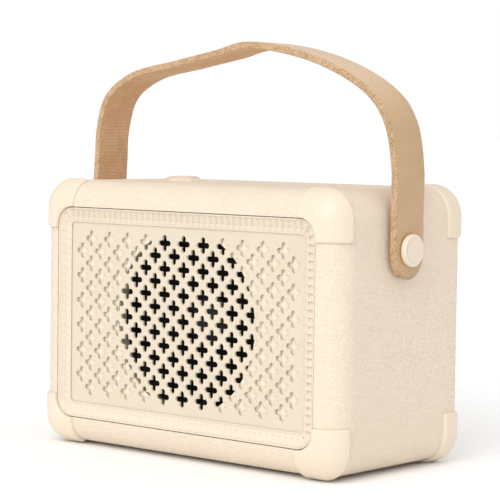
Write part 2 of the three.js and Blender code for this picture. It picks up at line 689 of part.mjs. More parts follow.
const portZ = boardZ - 4;
const usb = { x: -16, halfX: 4.5, halfZ: 1.65, deep: 5.5 };
const jack = { x: 0, outside: 6.0, bore: 3.6, deep: 6.0 };
const slider = { x: 17, halfX: 5.5, halfZ: 2.2, travel: 2.0 };
const knob = { x: slider.x - slider.travel / 2, halfX: 1.8, halfZ: 1.2 }; // off: left end of its travel
const led = { x: 27, diameter: 3.0 };
const knobProud = 0.8;
const mouth = coverBack - 1.0; // the sockets' mouths lie just inside the cover's face
const portFoot = boardRear + fitGap; // the sockets stand on the board

// A block round a rear fitting, drawn in on all four sides by inset.
const around = ({ x, halfX, halfZ }, inset, y0, y1) =>
  block(x - halfX + inset, x + halfX - inset, y0, y1, portZ - halfZ + inset, portZ + halfZ - inset);

add("usb_port", cut(around(usb, 0, portFoot, mouth), around(usb, 0.5, mouth - usb.deep, mouth + 1)), "steel");
add("aux_jack", cut(
  rodY(jack.x, portZ, jack.outside, portFoot, mouth, 20),
  rodY(jack.x, portZ, jack.bore, mouth - jack.deep, mouth + 1, 16),
), "black");
const sliderTop = coverFront - 1.2;
add("power_switch_body", cut(
  around(slider, 0, portFoot, sliderTop), around(slider, 0.6, sliderTop - 2, sliderTop + 1),
), "steel");
add("power_switch_knob", around(knob, 0, sliderTop - 1.6, coverBack + knobProud), "black");
add("led_lens", join(
  rodY(led.x, portZ, led.diameter, portFoot, coverBack + 0.2, 16),
  rodY(led.x, portZ, led.diameter + 1.6, portFoot, boardRear + 1.5, 16),
), "lens");

const rearScrewSink = 1.1; // the heads lie in counterbores this deep

function rearCover() {
  const half = [inner.halfWidth - fitGap, inner.halfHeight - fitGap];
  const plate = slab(roundedShape(...half, inner.corner - fitGap, ARC), coverFront, coverBack);
  const standoffs = pegs.map(([x, z]) => join(
    rodY(x, z, 5, coverFront - standoff, coverFront + bond, 14),
    rodY(x, z, pegDiameter, boardRear - boardThick - 1, coverFront, 12),
  ));
  const holes = corners.map(([, sx, sz]) =>
    rodY(sx * postX, middle + sz * postZ, screwDiameter + 2 * fitGap, coverFront - 1, rear + 1, 10));
  const sinks = corners.map(([, sx, sz]) =>
    rodY(sx * postX, middle + sz * postZ, screwHead + 2 * fitGap, coverBack - rearScrewSink, rear + 1, 14));
  const knobSlot = { x: slider.x, halfX: knob.halfX + slider.travel / 2, halfZ: knob.halfZ };
  const openings = [
    around(usb, -fitGap, coverFront - 1, rear + 1),
    rodY(jack.x, portZ, jack.outside + 2 * fitGap, coverFront - 1, rear + 1, 20),
    around(knobSlot, -slideGap, coverFront - 1, rear + 1),
    rodY(led.x, portZ, led.diameter + 2 * fitGap, coverFront - 1, rear + 1, 16),
  ];
  return cut(join(plate, ...standoffs), ...holes, ...sinks, ...openings);
}
add("rear_cover", rearCover(), "shell");
corners.forEach(([name, sx, sz]) => {
  const x = sx * postX;
  const z = middle + sz * postZ;
  const bearing = coverBack - rearScrewSink + fitGap;
  const screw = join(
    rodY(x, z, screwHead, bearing, bearing + 1.0, 10),
    rodY(x, z, screwDiameter, coverFront - 7, bearing + bond, 8),
  );
  add(`rear_screw_${name}`, screw, "steel");
});

export default radio;
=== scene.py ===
"""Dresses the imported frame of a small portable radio: grained box, guards, grille and leather strap."""

import json
import logging
import math
from dataclasses import dataclass, field
from enum import Enum

import bmesh
import bpy
import numpy as np
from mathutils import Matrix, Vector


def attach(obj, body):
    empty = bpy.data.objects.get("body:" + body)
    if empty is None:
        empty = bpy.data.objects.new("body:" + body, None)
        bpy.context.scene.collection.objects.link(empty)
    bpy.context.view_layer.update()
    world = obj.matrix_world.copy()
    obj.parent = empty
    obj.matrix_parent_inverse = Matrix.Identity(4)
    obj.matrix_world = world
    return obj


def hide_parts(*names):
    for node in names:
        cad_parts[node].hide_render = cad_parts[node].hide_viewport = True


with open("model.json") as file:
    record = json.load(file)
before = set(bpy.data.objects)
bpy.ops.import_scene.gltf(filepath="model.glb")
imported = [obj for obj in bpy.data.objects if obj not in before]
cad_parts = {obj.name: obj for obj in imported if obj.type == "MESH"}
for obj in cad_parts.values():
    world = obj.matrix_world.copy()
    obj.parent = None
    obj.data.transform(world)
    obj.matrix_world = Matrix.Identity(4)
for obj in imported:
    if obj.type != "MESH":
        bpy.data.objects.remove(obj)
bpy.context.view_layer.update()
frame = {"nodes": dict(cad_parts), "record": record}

log = logging.getLogger("radio")
MM = 0.001
Array = np.ndarray


class Body(Enum):
    """Names of the rigid bodies that pieces ride on."""

    HOUSING = "housing"
    STRAP = "strap"
    CONE = "speaker_cone"


class StrapFace(Enum):
    """Faces of the leather strap, in the order of its materials."""

    GRAIN = 0
    EDGE = 1
    FLESH = 2


# ------------------------------------------------------------------ surfaces worked out as whole arrays
def grid_quads(rows: int, columns: int, close_rows: bool = False, close_columns: bool = False) -> Array:
    """Quads between neighbouring rows and columns of a point grid stored row by row.

    Args:
        rows: number of rows.
        columns: number of points in a row.
        close_rows: joins the last row to the first.
        close_columns: joins the last point of each row to its first.

    Returns:
        Corner indices, one quad per line.
    """
    r = np.arange(rows if close_rows else rows - 1)
    c = np.arange(columns if close_columns else columns - 1)
    i, j = (a.ravel() for a in np.meshgrid(r, c, indexing="ij"))
    i2, j2 = (i + 1) % rows, (j + 1) % columns
    return np.stack([i * columns + j, i * columns + j2, i2 * columns + j2, i2 * columns + j], axis=1)


def grid_uv(u: Array, v: Array) -> Array:
    """Corner coordinates of the quads between rows u and columns v, in the order of grid_quads.

    Args:
        u: value of every row, one more than the quads have if the rows close.
        v: value of every column, likewise.

    Returns:
        Array of quads x 4 corners x 2 values.
    """
    i, j = (a.ravel() for a in np.meshgrid(np.arange(len(u) - 1), np.arange(len(v) - 1), indexing="ij"))
    corners = [(u[i], v[j]), (u[i], v[j + 1]), (u[i + 1], v[j + 1]), (u[i + 1], v[j])]
    return np.stack([np.stack(pair, axis=-1) for pair in corners], axis=1)


@dataclass(frozen=True)
class RoundedRing:
    """A rounded rectangle as anchors on its inner rectangle and outward directions.

    The outline at radius rho is anchor + rho * direction, so rings of any radius share their columns.
    """

    half_x: float
    half_z: float

    def sample(self, distance: Array, arc: float) -> tuple[Array, Array]:
        """Anchors and directions at distances round the ring, starting at the right end of the top run.

        Anchor and angle are straight-line functions of the distance over four runs and four arcs.

        Args:
            distance: places round the ring in millimetres, rising.
            arc: length given to each corner arc.

        Returns:
            Anchors and unit directions, each points x 2 (across, up).
        """
        x, z = self.half_x, self.half_z
        lengths = [2 * x, arc, 2 * z, arc, 2 * x, arc, 2 * z, arc]
        stops = np.concatenate([[0.0], np.cumsum(lengths)])
        ax = np.interp(distance, stops, [x, -x, -x, -x, -x, x, x, x, x])
        az = np.interp(distance, stops, [z, z, z, -z, -z, -z, -z, z, z])
        quarter = math.pi / 2
        angle = np.interp(distance, stops, quarter * np.array([1, 1, 2, 2, 3, 3, 4, 4, 5]))
        return np.stack([ax, az], axis=1), np.stack([np.cos(angle), np.sin(angle)], axis=1)

    def length(self, arc: float) -> float:
        """Whole distance round the ring when each corner arc counts for arc millimetres."""
        return 4 * (self.half_x + self.half_z + arc)


def centripetal_curve(points: Array, count: int) -> tuple[Array, Array, Array]:
    """Smooth curve through points, its knots spaced by the root of each chord, sampled evenly by length.

    Each span is the cubic whose end slopes are t1 = (p1-p0)/d0 - (p2-p0)/(d0+d1) + (p2-p1)/d1 and the like,
    times d1. The first and last chords are repeated beyond the ends.

    Args:
        points: control points, n x 3.
        count: number of samples.

    Returns:
        Positions, unit tangents and distances along the curve.
    """
    p = np.vstack([2 * points[0] - points[1], points, 2 * points[-1] - points[-2]])
    d = np.sqrt(np.linalg.norm(np.diff(p, axis=0), axis=1))[:, None]
    p0, p1, p2, p3 = p[:-3], p[1:-2], p[2:-1], p[3:]
    d0, d1, d2 = d[:-2], d[1:-1], d[2:]
    t1 = ((p1 - p0) / d0 - (p2 - p0) / (d0 + d1) + (p2 - p1) / d1) * d1
    t2 = ((p2 - p1) / d1 - (p3 - p1) / (d1 + d2) + (p3 - p2) / d2) * d1
    c2, c3 = -3 * p1 + 3 * p2 - 2 * t1 - t2, 2 * p1 - 2 * p2 + t1 + t2
    fine = np.linspace(0, len(p1), 4001)
    span = np.minimum(fine.astype(int), len(p1) - 1)
    t = (fine - span)[:, None]
    curve = p1[span] + t1[span] * t + c2[span] * t**2 + c3[span] * t**3
    run = np.concatenate([[0.0], np.cumsum(np.linalg.norm(np.diff(curve, axis=0), axis=1))])
    at = np.linspace(0, run[-1], count)
    place = np.stack([np.interp(at, run, curve[:, k]) for k in range(3)], axis=1)
    tangent = np.gradient(place, at, axis=0)
    return place, tangent / np.linalg.norm(tangent, axis=1, keepdims=True), at


def enclosed_volume(points: Array, quads: Array) -> float:
    """Signed volume inside quads: the sum over their triangles of a . (b x c) / 6."""
    triangles = np.concatenate([quads[:, [0, 1, 2]], quads[:, [0, 2, 3]]])
    a, b, c = (points[triangles[:, k]] for k in range(3))
    return float(np.einsum("ij,ij->", a, np.cross(b, c)) / 6)


def make_piece(
    name: str,
    points: Array,
    quads: Array,
    materials: list[bpy.types.Material],
    body: Body | str,
    replaces: tuple[str, ...],
    uv: Array | None = None,
    face_material: Array | None = None,
    sharp_degrees: float = 40.0,
) -> bpy.types.Object:
    """Makes a closed mesh from millimetre points and quads, turned outwards, and rides it on its body.

    Args:
        name: the piece's name.
        points: vertices in millimetres.
        quads: corner indices; repeated points are merged afterwards.
        materials: finishes in slot order.
        body: body that the piece moves with.
        replaces: frame nodes that this piece stands for.
        uv: optional coordinates, quads x 4 x 2.
        face_material: optional material number of every quad.
        sharp_degrees: edges that turn more than this are shaded sharp.

    Returns:
        The new object.
    """
    if enclosed_volume(points, quads) < 0:
        quads = quads[:, ::-1]
        uv = None if uv is None else uv[:, ::-1]
    mesh = bpy.data.meshes.new(name)
    mesh.from_pydata((points * MM).tolist(), [], quads.tolist())
    for finish in materials:
        mesh.materials.append(finish)
    if uv is not None:
        layer = mesh.uv_layers.new(name="surface")
        layer.data.foreach_set("uv", np.ascontiguousarray(uv, dtype=np.float32).ravel())
    if face_material is not None:
        mesh.polygons.foreach_set("material_index", face_material.astype(np.int32))
    work = bmesh.new()
    work.from_mesh(mesh)
    bmesh.ops.remove_doubles(work, verts=work.verts, dist=2e-6)
    bmesh.ops.dissolve_degenerate(work, edges=work.edges, dist=1e-7)
    work.to_mesh(mesh)
    work.free()
    mesh.shade_smooth()
    mesh.set_sharp_from_angle(angle=math.radians(sharp_degrees))
    piece = bpy.data.objects.new(name, mesh)
    bpy.context.scene.collection.objects.link(piece)
    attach(piece, body.value if isinstance(body, Body) else body)
    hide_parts(*replaces)
    log.info("%s: %d faces on %s", name, len(mesh.polygons), body)
    return piece


def turned_points(profile: Array, sides: int, centre: Array, axis: str) -> Array:
    """Points of a lathe surface: radius and height of the profile swept round an axis.

    Args:
        profile: rows of radius and place along the axis.
        sides: steps round the axis.
        centre: a point on the axis.
        axis: "x", "y" or "z".

    Returns:
        Points row by row, one row per profile point.
    """
    angle = np.linspace(0, 2 * math.pi, sides, endpoint=False)
    radius, along = profile[:, :1], np.repeat(profile[:, 1:], sides, axis=1)
    first, second = radius * np.cos(angle), radius * np.sin(angle)
    order = {"x": (along, first, second), "y": (first, along, second), "z": (first, second, along)}[axis]
    return np.stack(order, axis=-1).reshape(-1, 3) + centre


def rounded_profile(corners: list[tuple[float, float, float]], steps: int = 5) -> Array:
    """Profile line whose corners are rounded: each corner is replaced by an arc tangent to both its sides.

    Args:
        corners: radius, place along the axis and rounding of every corner.
        steps: points per rounded corner.

    Returns:
        Rows of radius and place along the axis.
    """
    line: list[Array] = []
    spots = [np.array(c[:2]) for c in corners]
    for k, (_, _, rounding) in enumerate(corners):
        if rounding == 0 or k in (0, len(corners) - 1):
            line.append(spots[k][None])
            continue
        back, ahead = spots[k - 1] - spots[k], spots[k + 1] - spots[k]
        back, ahead = back / np.linalg.norm(back), ahead / np.linalg.norm(ahead)
        t = np.linspace(0, 1, steps)[:, None]
        line.append(spots[k] + rounding * ((1 - t) ** 2 * back + t**2 * ahead))
    return np.vstack(line)


# ------------------------------------------------------------------ shader building
class Shader:
    """Small helper round one node tree, a material's or a group's."""

    def __init__(self, tree: bpy.types.NodeTree) -> None:
        """Keeps the tree."""
        self.tree = tree

    def node(self, kind: str, **settings: object) -> bpy.types.Node:
        """Adds a node and sets its properties.

        Args:
            kind: the node's class name without "ShaderNode".
            settings: properties by name.

        Returns:
            The node.
        """
        made = self.tree.nodes.new("ShaderNode" + kind)
        for key, value in settings.items():
            setattr(made, key, value)
        return made

    def feed(self, socket: bpy.types.NodeSocket, value: object) -> None:
        """Links a socket into another, or sets its constant value."""
        if isinstance(value, bpy.types.NodeSocket):
            self.tree.links.new(value, socket)
        else:
            socket.default_value = value

    def noise(
        self, vector: object, scale: object, detail: float = 2.0, rough: float = 0.5,
    ) -> bpy.types.NodeSocket:
        """Noise factor at a place."""
        made = self.node("TexNoise")
        self.feed(made.inputs["Vector"], vector)
        self.feed(made.inputs["Scale"], scale)
        made.inputs["Detail"].default_value = detail
        made.inputs["Roughness"].default_value = rough
        return made.outputs["Fac"]

    def cells(self, vector: object, scale: object, feature: str = "F1") -> bpy.types.NodeSocket:
        """Distance value of a cell pattern at a place."""
        made = self.node("TexVoronoi", feature=feature)
        self.feed(made.inputs["Vector"], vector)
        self.feed(made.inputs["Scale"], scale)
        return made.outputs["Distance"]

    def math(self, operation: str, a: object, b: object = 0.0, clamp: bool = False) -> bpy.types.NodeSocket:
        """Result of a sum on one or two values."""
        made = self.node("Math", operation=operation, use_clamp=clamp)
        self.feed(made.inputs[0], a)
        self.feed(made.inputs[1], b)
        return made.outputs[0]

    def span(
        self, value: object, low: object, high: object, to_low: float = 0.0, to_high: float = 1.0,
    ) -> bpy.types.NodeSocket:
        """Value carried smoothly from one range to another."""
        made = self.node("MapRange", interpolation_type="SMOOTHSTEP")
        for place, number in enumerate((value, low, high, to_low, to_high)):
            self.feed(made.inputs[place], number)
        return made.outputs[0]

    def mix(self, share: object, a: object, b: object, blend: str = "MIX") -> bpy.types.NodeSocket:
        """Colour between two colours."""
        made = self.node("Mix", data_type="RGBA", blend_type=blend)
        self.feed(made.inputs[0], share)
        self.feed(made.inputs[6], a)
        self.feed(made.inputs[7], b)
        return made.outputs[2]

    def group(self, tree: bpy.types.NodeTree, **values: object) -> bpy.types.Node:
        """Places a node group with its own input values.

        Args:
            tree: the group.
            values: inputs by name, spaces written as underscores.

        Returns:
            The group node.
        """
        made = self.node("Group")
        made.node_tree = tree
        for key, value in values.items():
            self.feed(made.inputs[key.replace("_", " ")], value)
        return made


def new_group(
    name: str, inputs: dict[str, tuple[str, object]], outputs: dict[str, str],
) -> tuple[Shader, dict, dict]:
    """Starts a shader node group with named sockets.

    Args:
        name: the group's name.
        inputs: name to kind and default value.
        outputs: name to kind.

    Returns:
        The helper, the input sockets by name and the output node's sockets by name.
    """
    tree = bpy.data.node_groups.new(name, "ShaderNodeTree")
    for key, (kind, value) in inputs.items():
        socket = tree.interface.new_socket(key, in_out="INPUT", socket_type=kind)
        if value is not None:
            socket.default_value = value
    for key, kind in outputs.items():
        tree.interface.new_socket(key, in_out="OUTPUT", socket_type=kind)
    entry, leave = tree.nodes.new("NodeGroupInput"), tree.nodes.new("NodeGroupOutput")
    return Shader(tree), {k: entry.outputs[k] for k in inputs}, {k: leave.inputs[k] for k in outputs}


FLOAT, COLOUR, VECTOR = "NodeSocketFloat", "NodeSocketColor", "NodeSocketVector"


class Effects:
    """Shader node groups shared by the finishes."""

    def __init__(self) -> None:
        """Builds every group once."""
        self.pebble = self._pebble()
        self.mottle = self._mottle()
        self.specks = self._specks()
        self.weave = self._weave()

    def _pebble(self) -> bpy.types.NodeTree:
        """Embossed pebble grain: domed cells parted by creases, with a finer crinkle over them."""
        s, get, put = new_group(
            "pebble_grain",
            {"Vector": (VECTOR, None), "Scale": (FLOAT, 900.0), "Crinkle": (FLOAT, 0.3)},
            {"Height": FLOAT, "Crease": FLOAT},
        )
        warp = s.node("VectorMath", operation="MULTIPLY_ADD")
        turned = s.node("TexNoise")
        s.feed(turned.inputs["Vector"], get["Vector"])
        s.feed(turned.inputs["Scale"], s.math("MULTIPLY", get["Scale"], 0.6))
        s.feed(warp.inputs[0], turned.outputs["Color"])
        warp.inputs[1].default_value = (0.0011, 0.0011, 0.0011)
        s.feed(warp.inputs[2], get["Vector"])
        edge = s.cells(warp.outputs[0], get["Scale"], "DISTANCE_TO_EDGE")
        dome = s.span(edge, 0.0, 0.32)
        fine = s.noise(get["Vector"], s.math("MULTIPLY", get["Scale"], 3.1), 3.0, 0.6)
        s.feed(put["Height"], s.math("ADD", dome, s.math("MULTIPLY", fine, get["Crinkle"])))
        s.feed(put["Crease"], s.span(edge, 0.02, 0.16, 1.0, 0.0))
        return s.tree

    def _mottle(self) -> bpy.types.NodeTree:
        """Slow uneven tone of a moulded or tanned surface, with faint handling marks on roughness."""
        s, get, put = new_group(
            "tone_mottle",
            {
                "Vector": (VECTOR, None),
                "Colour": (COLOUR, (0.8, 0.7, 0.6, 1)),
                "Shade": (COLOUR, (0.7, 0.6, 0.5, 1)),
                "Scale": (FLOAT, 40.0),
                "Roughness": (FLOAT, 0.5),
                "Spread": (FLOAT, 0.03),
            },
            {"Colour": COLOUR, "Roughness": FLOAT},
        )
        slow = s.noise(get["Vector"], get["Scale"], 3.0, 0.55)
        s.feed(put["Colour"], s.mix(s.span(slow, 0.35, 0.7), get["Colour"], get["Shade"]))
        marks = s.noise(get["Vector"], s.math("MULTIPLY", get["Scale"], 7.0), 4.0, 0.6)
        swing = s.math("MULTIPLY", s.math("SUBTRACT", marks, 0.5), s.math("MULTIPLY", get["Spread"], 2.0))
        s.feed(put["Roughness"], s.math("ADD", get["Roughness"], swing, clamp=True))
        return s.tree

    def _specks(self) -> bpy.types.NodeTree:
        """Scattered small dark specks: cells whose middle is near and whose own noise is high."""
        s, get, put = new_group(
            "fibre_specks",
            {
                "Vector": (VECTOR, None),
                "Scale": (FLOAT, 2200.0),
                "Size": (FLOAT, 0.28),
                "Amount": (FLOAT, 0.5),
            },
            {"Mask": FLOAT},
        )
        rim = s.math("MULTIPLY", get["Size"], 0.6)
        near = s.span(s.cells(get["Vector"], get["Scale"]), rim, get["Size"], 1.0, 0.0)
        patch = s.noise(get["Vector"], s.math("MULTIPLY", get["Scale"], 0.45), 2.0)
        keep = s.span(patch, s.math("SUBTRACT", 1.0, get["Amount"]), s.math("SUBTRACT", 1.08, get["Amount"]))
        s.feed(put["Mask"], s.math("MULTIPLY", near, keep))
        return s.tree

    def _weave(self) -> bpy.types.NodeTree:
        """Broken cross lines: a sine of the distance along, pushed about and interrupted by noise."""
        s, get, put = new_group(
            "broken_lines",
            {"Vector": (VECTOR, None), "Pitch": (FLOAT, 0.0012), "Breaks": (FLOAT, 1200.0)},
            {"Mask": FLOAT},
        )
        axes = s.node("SeparateXYZ")
        s.feed(axes.inputs[0], get["Vector"])
        turns = s.math("MULTIPLY", s.math("DIVIDE", axes.outputs["X"], get["Pitch"]), 2 * math.pi)
        push = s.math("MULTIPLY", s.noise(get["Vector"], s.math("MULTIPLY", get["Breaks"], 0.35), 2.0), 7.0)
        line = s.span(s.math("SINE", s.math("ADD", turns, push)), -0.1, 0.9)
        whole = s.span(s.noise(get["Vector"], get["Breaks"], 3.0, 0.6), 0.42, 0.58)
        s.feed(put["Mask"], s.math("MULTIPLY", line, whole))
        return s.tree


@dataclass(frozen=True)
class Finish:
    """A finish that needs only colour, shade, roughness and a fine surface texture."""

    name: str
    colour: tuple[float, float, float]
    shade: tuple[float, float, float]
    roughness: float = 0.45
    metallic: float = 0.0
    texture_scale: float = 2500.0
    texture_height: float = 0.00001
    mottle_scale: float = 45.0
    specular: float = 0.5
    coat: float = 0.0
    subsurface: float = 0.0

    def start(self) -> tuple[bpy.types.Material, Shader, bpy.types.Node]:
        """Makes the material with its surface shader and constants set.

        Returns:
            The material, its shader helper and the Principled node.
        """
        material = bpy.data.materials.new(self.name)
        material.use_nodes = True
        shader = Shader(material.node_tree)
        surface = material.node_tree.nodes["Principled BSDF"]
        surface.inputs["Metallic"].default_value = self.metallic
        surface.inputs["Specular IOR Level"].default_value = self.specular
        surface.inputs["Coat Weight"].default_value = self.coat
        surface.inputs["Coat Roughness"].default_value = 0.3
        surface.inputs["Subsurface Weight"].default_value = self.subsurface
        surface.inputs["Subsurface Radius"].default_value = (1.0, 0.75, 0.5)
        surface.inputs["Subsurface Scale"].default_value = 0.0012
        return material, shader, surface

    def tone(
        self, effects: Effects, shader: Shader, surface: bpy.types.Node, vector: object,
    ) -> bpy.types.Node:
        """Feeds mottled colour and roughness into the surface and returns the group node."""
        tone = shader.group(
            effects.mottle, Vector=vector, Colour=(*self.colour, 1), Shade=(*self.shade, 1),
            Scale=self.mottle_scale, Roughness=self.roughness,
        )
        shader.feed(surface.inputs["Base Color"], tone.outputs["Colour"])
        shader.feed(surface.inputs["Roughness"], tone.outputs["Roughness"])
        return tone

    def relief(self, shader: Shader, surface: bpy.types.Node, height: object, depth: float) -> None:
        """Feeds a height into the surface's normal through one bump node."""
        bump = shader.node("Bump")
        bump.inputs["Distance"].default_value = depth
        bump.inputs["Strength"].default_value = 1.0
        shader.feed(bump.inputs["Height"], height)
        shader.feed(surface.inputs["Normal"], bump.outputs["Normal"])

    def build(self, effects: Effects) -> bpy.types.Material:
        """Makes the whole material."""
        material, shader, surface = self.start()
        place = shader.node("TexCoord").outputs["Object"]
        self.tone(effects, shader, surface, place)
        self.relief(shader, surface, shader.noise(place, self.texture_scale, 3.0, 0.6), self.texture_height)
        return material


@dataclass(frozen=True)
class GrainedPlastic(Finish):
    """Moulded plastic embossed like leather."""

    pebble_scale: float = 1500.0
    pebble_depth: float = 0.00011
    crease_shade: float = 0.12

    def build(self, effects: Effects) -> bpy.types.Material:
        """Makes the material: pebble grain as relief, creases a little darker as painted shade."""
        material, shader, surface = self.start()
        place = shader.node("TexCoord").outputs["Object"]
        tone = self.tone(effects, shader, surface, place)
        grain = shader.group(effects.pebble, Vector=place, Scale=self.pebble_scale)
        # painted shade: the creases darkened towards the shade colour, where shade falls between the grain's
        # domes
        depth = shader.math("MULTIPLY", grain.outputs["Crease"], self.crease_shade)
        darker = shader.mix(depth, tone.outputs["Colour"], (*self.shade, 1), "MULTIPLY")
        shader.feed(surface.inputs["Base Color"], darker)
        self.relief(shader, surface, grain.outputs["Height"], self.pebble_depth)
        return material


@dataclass(frozen=True)
class Leather(Finish):
    """One face of the strap: smooth grain side, cut edge or rough flesh side."""

    face: StrapFace = StrapFace.GRAIN
    dark: tuple[float, float, float] = (0.35, 0.18, 0.08)
    # colour of the painted highlight on the top of the strap's bend
    highlight_colour: tuple[float, float, float] = (0.74, 0.515, 0.32)
    middle: float = 0.116
    highlight_reach: tuple[float, float] = (0.05, 0.08)

    def highlight_mask(self, shader: Shader, strap_map: object) -> bpy.types.NodeSocket:
        """Mask of the bent stretch, where a painted highlight lightens the leather: one there, none at the
        legs.
        """
        axes = shader.node("SeparateXYZ")
        shader.feed(axes.inputs[0], strap_map)
        away = shader.math("ABSOLUTE", shader.math("SUBTRACT", axes.outputs["X"], self.middle))
        return shader.span(away, *self.highlight_reach, 1.0, 0.0)

    def build(self, effects: Effects) -> bpy.types.Material:
        """Makes the material on the strap's own map: u runs along it and v across it, in metres."""
        material, shader, surface = self.start()
        strap_map = shader.node("UVMap", uv_map="surface").outputs["UV"]
        tone = self.tone(effects, shader, surface, strap_map)
        if self.face is StrapFace.GRAIN:
            grain = shader.group(effects.pebble, Vector=strap_map, Scale=1300.0, Crinkle=0.6)
            pores = shader.group(effects.specks, Vector=strap_map, Scale=1500.0, Size=0.22, Amount=0.42)
            share = shader.math("MULTIPLY", pores.outputs["Mask"], 0.22)
            # painted highlight: the top of the bend lightened, standing in for light falling from above
            highlighted = shader.mix(self.highlight_mask(shader, strap_map), tone.outputs["Colour"], (*self.highlight_colour, 1))
            shader.feed(surface.inputs["Base Color"], shader.mix(share, highlighted, (*self.dark, 1)))
            self.relief(shader, surface, grain.outputs["Height"], 0.00007)
            return material
        if self.face is StrapFace.FLESH:
            lines = shader.group(effects.weave, Vector=strap_map).outputs["Mask"]
            nap = shader.noise(strap_map, 2600.0, 4.0, 0.7)
            tint = shader.mix(shader.span(nap, 0.3, 0.7), tone.outputs["Colour"], (*self.shade, 1))
            share = shader.math("MULTIPLY", lines, 0.26)
            shader.feed(surface.inputs["Base Color"], shader.mix(share, tint, (*self.dark, 1)))
            height = shader.math("SUBTRACT", nap, shader.math("MULTIPLY", lines, 0.4))
            self.relief(shader, surface, height, 0.0002)
            return material
        stretched = shader.node("Mapping")
        shader.feed(stretched.inputs["Vector"], strap_map)
        stretched.inputs["Scale"].default_value = (0.45, 1.6, 1.0)
        fibres = shader.noise(stretched.outputs["Vector"], 1900.0, 5.0, 0.7)
        dots = shader.group(effects.specks, Vector=strap_map, Scale=2900.0, Size=0.44, Amount=0.6)
        lighter = shader.mix(shader.span(fibres, 0.38, 0.6), tone.outputs["Colour"], (*self.shade, 1))
        share = shader.math("MULTIPLY", dots.outputs["Mask"], 0.75)
        shader.feed(surface.inputs["Base Color"], shader.mix(share, lighter, (*self.dark, 1)))
        height = shader.math("SUBTRACT", fibres, shader.math("MULTIPLY", dots.outputs["Mask"], 0.5))
        self.relief(shader, surface, height, 0.00015)
        return material


@dataclass(frozen=True)
class ClearLens(Finish):
    """Small clear diffusing lens."""

    def build(self, effects: Effects) -> bpy.types.Material:
        """Makes a slightly frosted glass."""
        material, shader, surface = self.start()
        place = shader.node("TexCoord").outputs["Object"]
        surface.inputs["Base Color"].default_value = (*self.colour, 1)
        surface.inputs["Transmission Weight"].default_value = 0.85
        surface.inputs["Roughness"].default_value = self.roughness
        self.relief(shader, surface, shader.noise(place, self.texture_scale), self.texture_height)
        return material


SHELL_COLOUR, SHELL_SHADE = (0.885, 0.76, 0.615), (0.877, 0.75, 0.603)

FINISHES: dict[str, Finish] = {
    "shell": GrainedPlastic("cream_grained_plastic", SHELL_COLOUR, SHELL_SHADE, 0.52, specular=0.35),
    "inner_shell": Finish(
        "cream_moulded_plastic", (0.865, 0.775, 0.635), (0.855, 0.76, 0.62), 0.5, subsurface=0.2,
    ),
    "guard": Finish(
        "cream_satin_plastic", (0.83, 0.71, 0.56), (0.82, 0.698, 0.547), 0.36, texture_height=0.000006,
        specular=0.45, subsurface=0.08,
    ),
    "bezel": Finish(
        "cream_rib_plastic", (0.785, 0.685, 0.555), (0.772, 0.67, 0.54), 0.38, specular=0.42,
    ),
    "grille": Finish(
        "cream_grille_plastic", (0.74, 0.645, 0.515), (0.725, 0.628, 0.497), 0.42, specular=0.4,
        subsurface=0.3,
    ),
    "leather": Leather(
        "strap_grain_side", (0.575, 0.375, 0.20), (0.54, 0.345, 0.175), 0.45, mottle_scale=55.0,
        specular=0.6, coat=0.2,
    ),
    "leather_edge": Leather(
        "strap_cut_edge", (0.47, 0.29, 0.155), (0.66, 0.455, 0.275), 0.8, mottle_scale=300.0,
        specular=0.2, face=StrapFace.EDGE, dark=(0.20, 0.085, 0.03),
    ),
    "leather_flesh": Leather(
        "strap_flesh_side", (0.53, 0.31, 0.165), (0.69, 0.445, 0.265), 0.85, mottle_scale=90.0,
        specular=0.2, face=StrapFace.FLESH, dark=(0.24, 0.12, 0.05),
    ),
    "steel": Finish(
        "zinc_plated_steel", (0.55, 0.56, 0.58), (0.45, 0.46, 0.48), 0.32, metallic=1.0, mottle_scale=400.0,
    ),
    "black_plastic": Finish("black_moulded_plastic", (0.018, 0.017, 0.017), (0.026, 0.025, 0.024), 0.5),
    "rubber": Finish("soft_black_rubber", (0.010, 0.009, 0.008), (0.014, 0.013, 0.011), 0.7, specular=0.12),
    "cone": Finish(
        "pressed_black_pulp", (0.009, 0.008, 0.006), (0.013, 0.011, 0.009), 0.8, specular=0.1,
        texture_scale=1500.0, texture_height=0.00006,
    ),
    "dust_cap": Finish("dark_grey_cap", (0.02, 0.02, 0.024), (0.03, 0.03, 0.034), 0.3, specular=0.35),
    "copper": Finish("enamelled_copper", (0.55, 0.22, 0.09), (0.45, 0.17, 0.07), 0.3, metallic=1.0),
    "ferrite": Finish("sintered_ferrite", (0.035, 0.035, 0.038), (0.05, 0.05, 0.052), 0.6),
    "board": Finish("green_board", (0.012, 0.12, 0.045), (0.01, 0.09, 0.035), 0.4, mottle_scale=220.0),
    "battery_wrap": Finish("blue_shrink_wrap", (0.02, 0.09, 0.34), (0.018, 0.075, 0.28), 0.3),
    "lens": ClearLens("clear_lens", (0.9, 0.93, 0.93), (0.9, 0.93, 0.93), 0.25),
}


class Finisher:
    """Builds each finish once and hands it out."""

    def __init__(self) -> None:
        """Builds the shared effects."""
        self.effects = Effects()
        self.made: dict[str, bpy.types.Material] = {}

    def get(self, name: str) -> bpy.types.Material:
        """The material of a finish, built on first use."""
        if name not in self.made:
            self.made[name] = FINISHES[name].build(self.effects)
        return self.made[name]

    def dress_frame(self) -> None:
        """Gives every frame node the finish of its slot in the record, but the baffle panel and rear cover a
        smoother one.
        """
        slots = {entry["node"]: entry["material_slot"] for entry in frame["record"]["subparts"]}
        smooth = {"baffle_panel": "inner_shell", "rear_cover": "guard"}
        for name, node in frame["nodes"].items():
            finish = self.get(smooth.get(name, slots[name]))
            for entry in node.material_slots:
                entry.material = finish


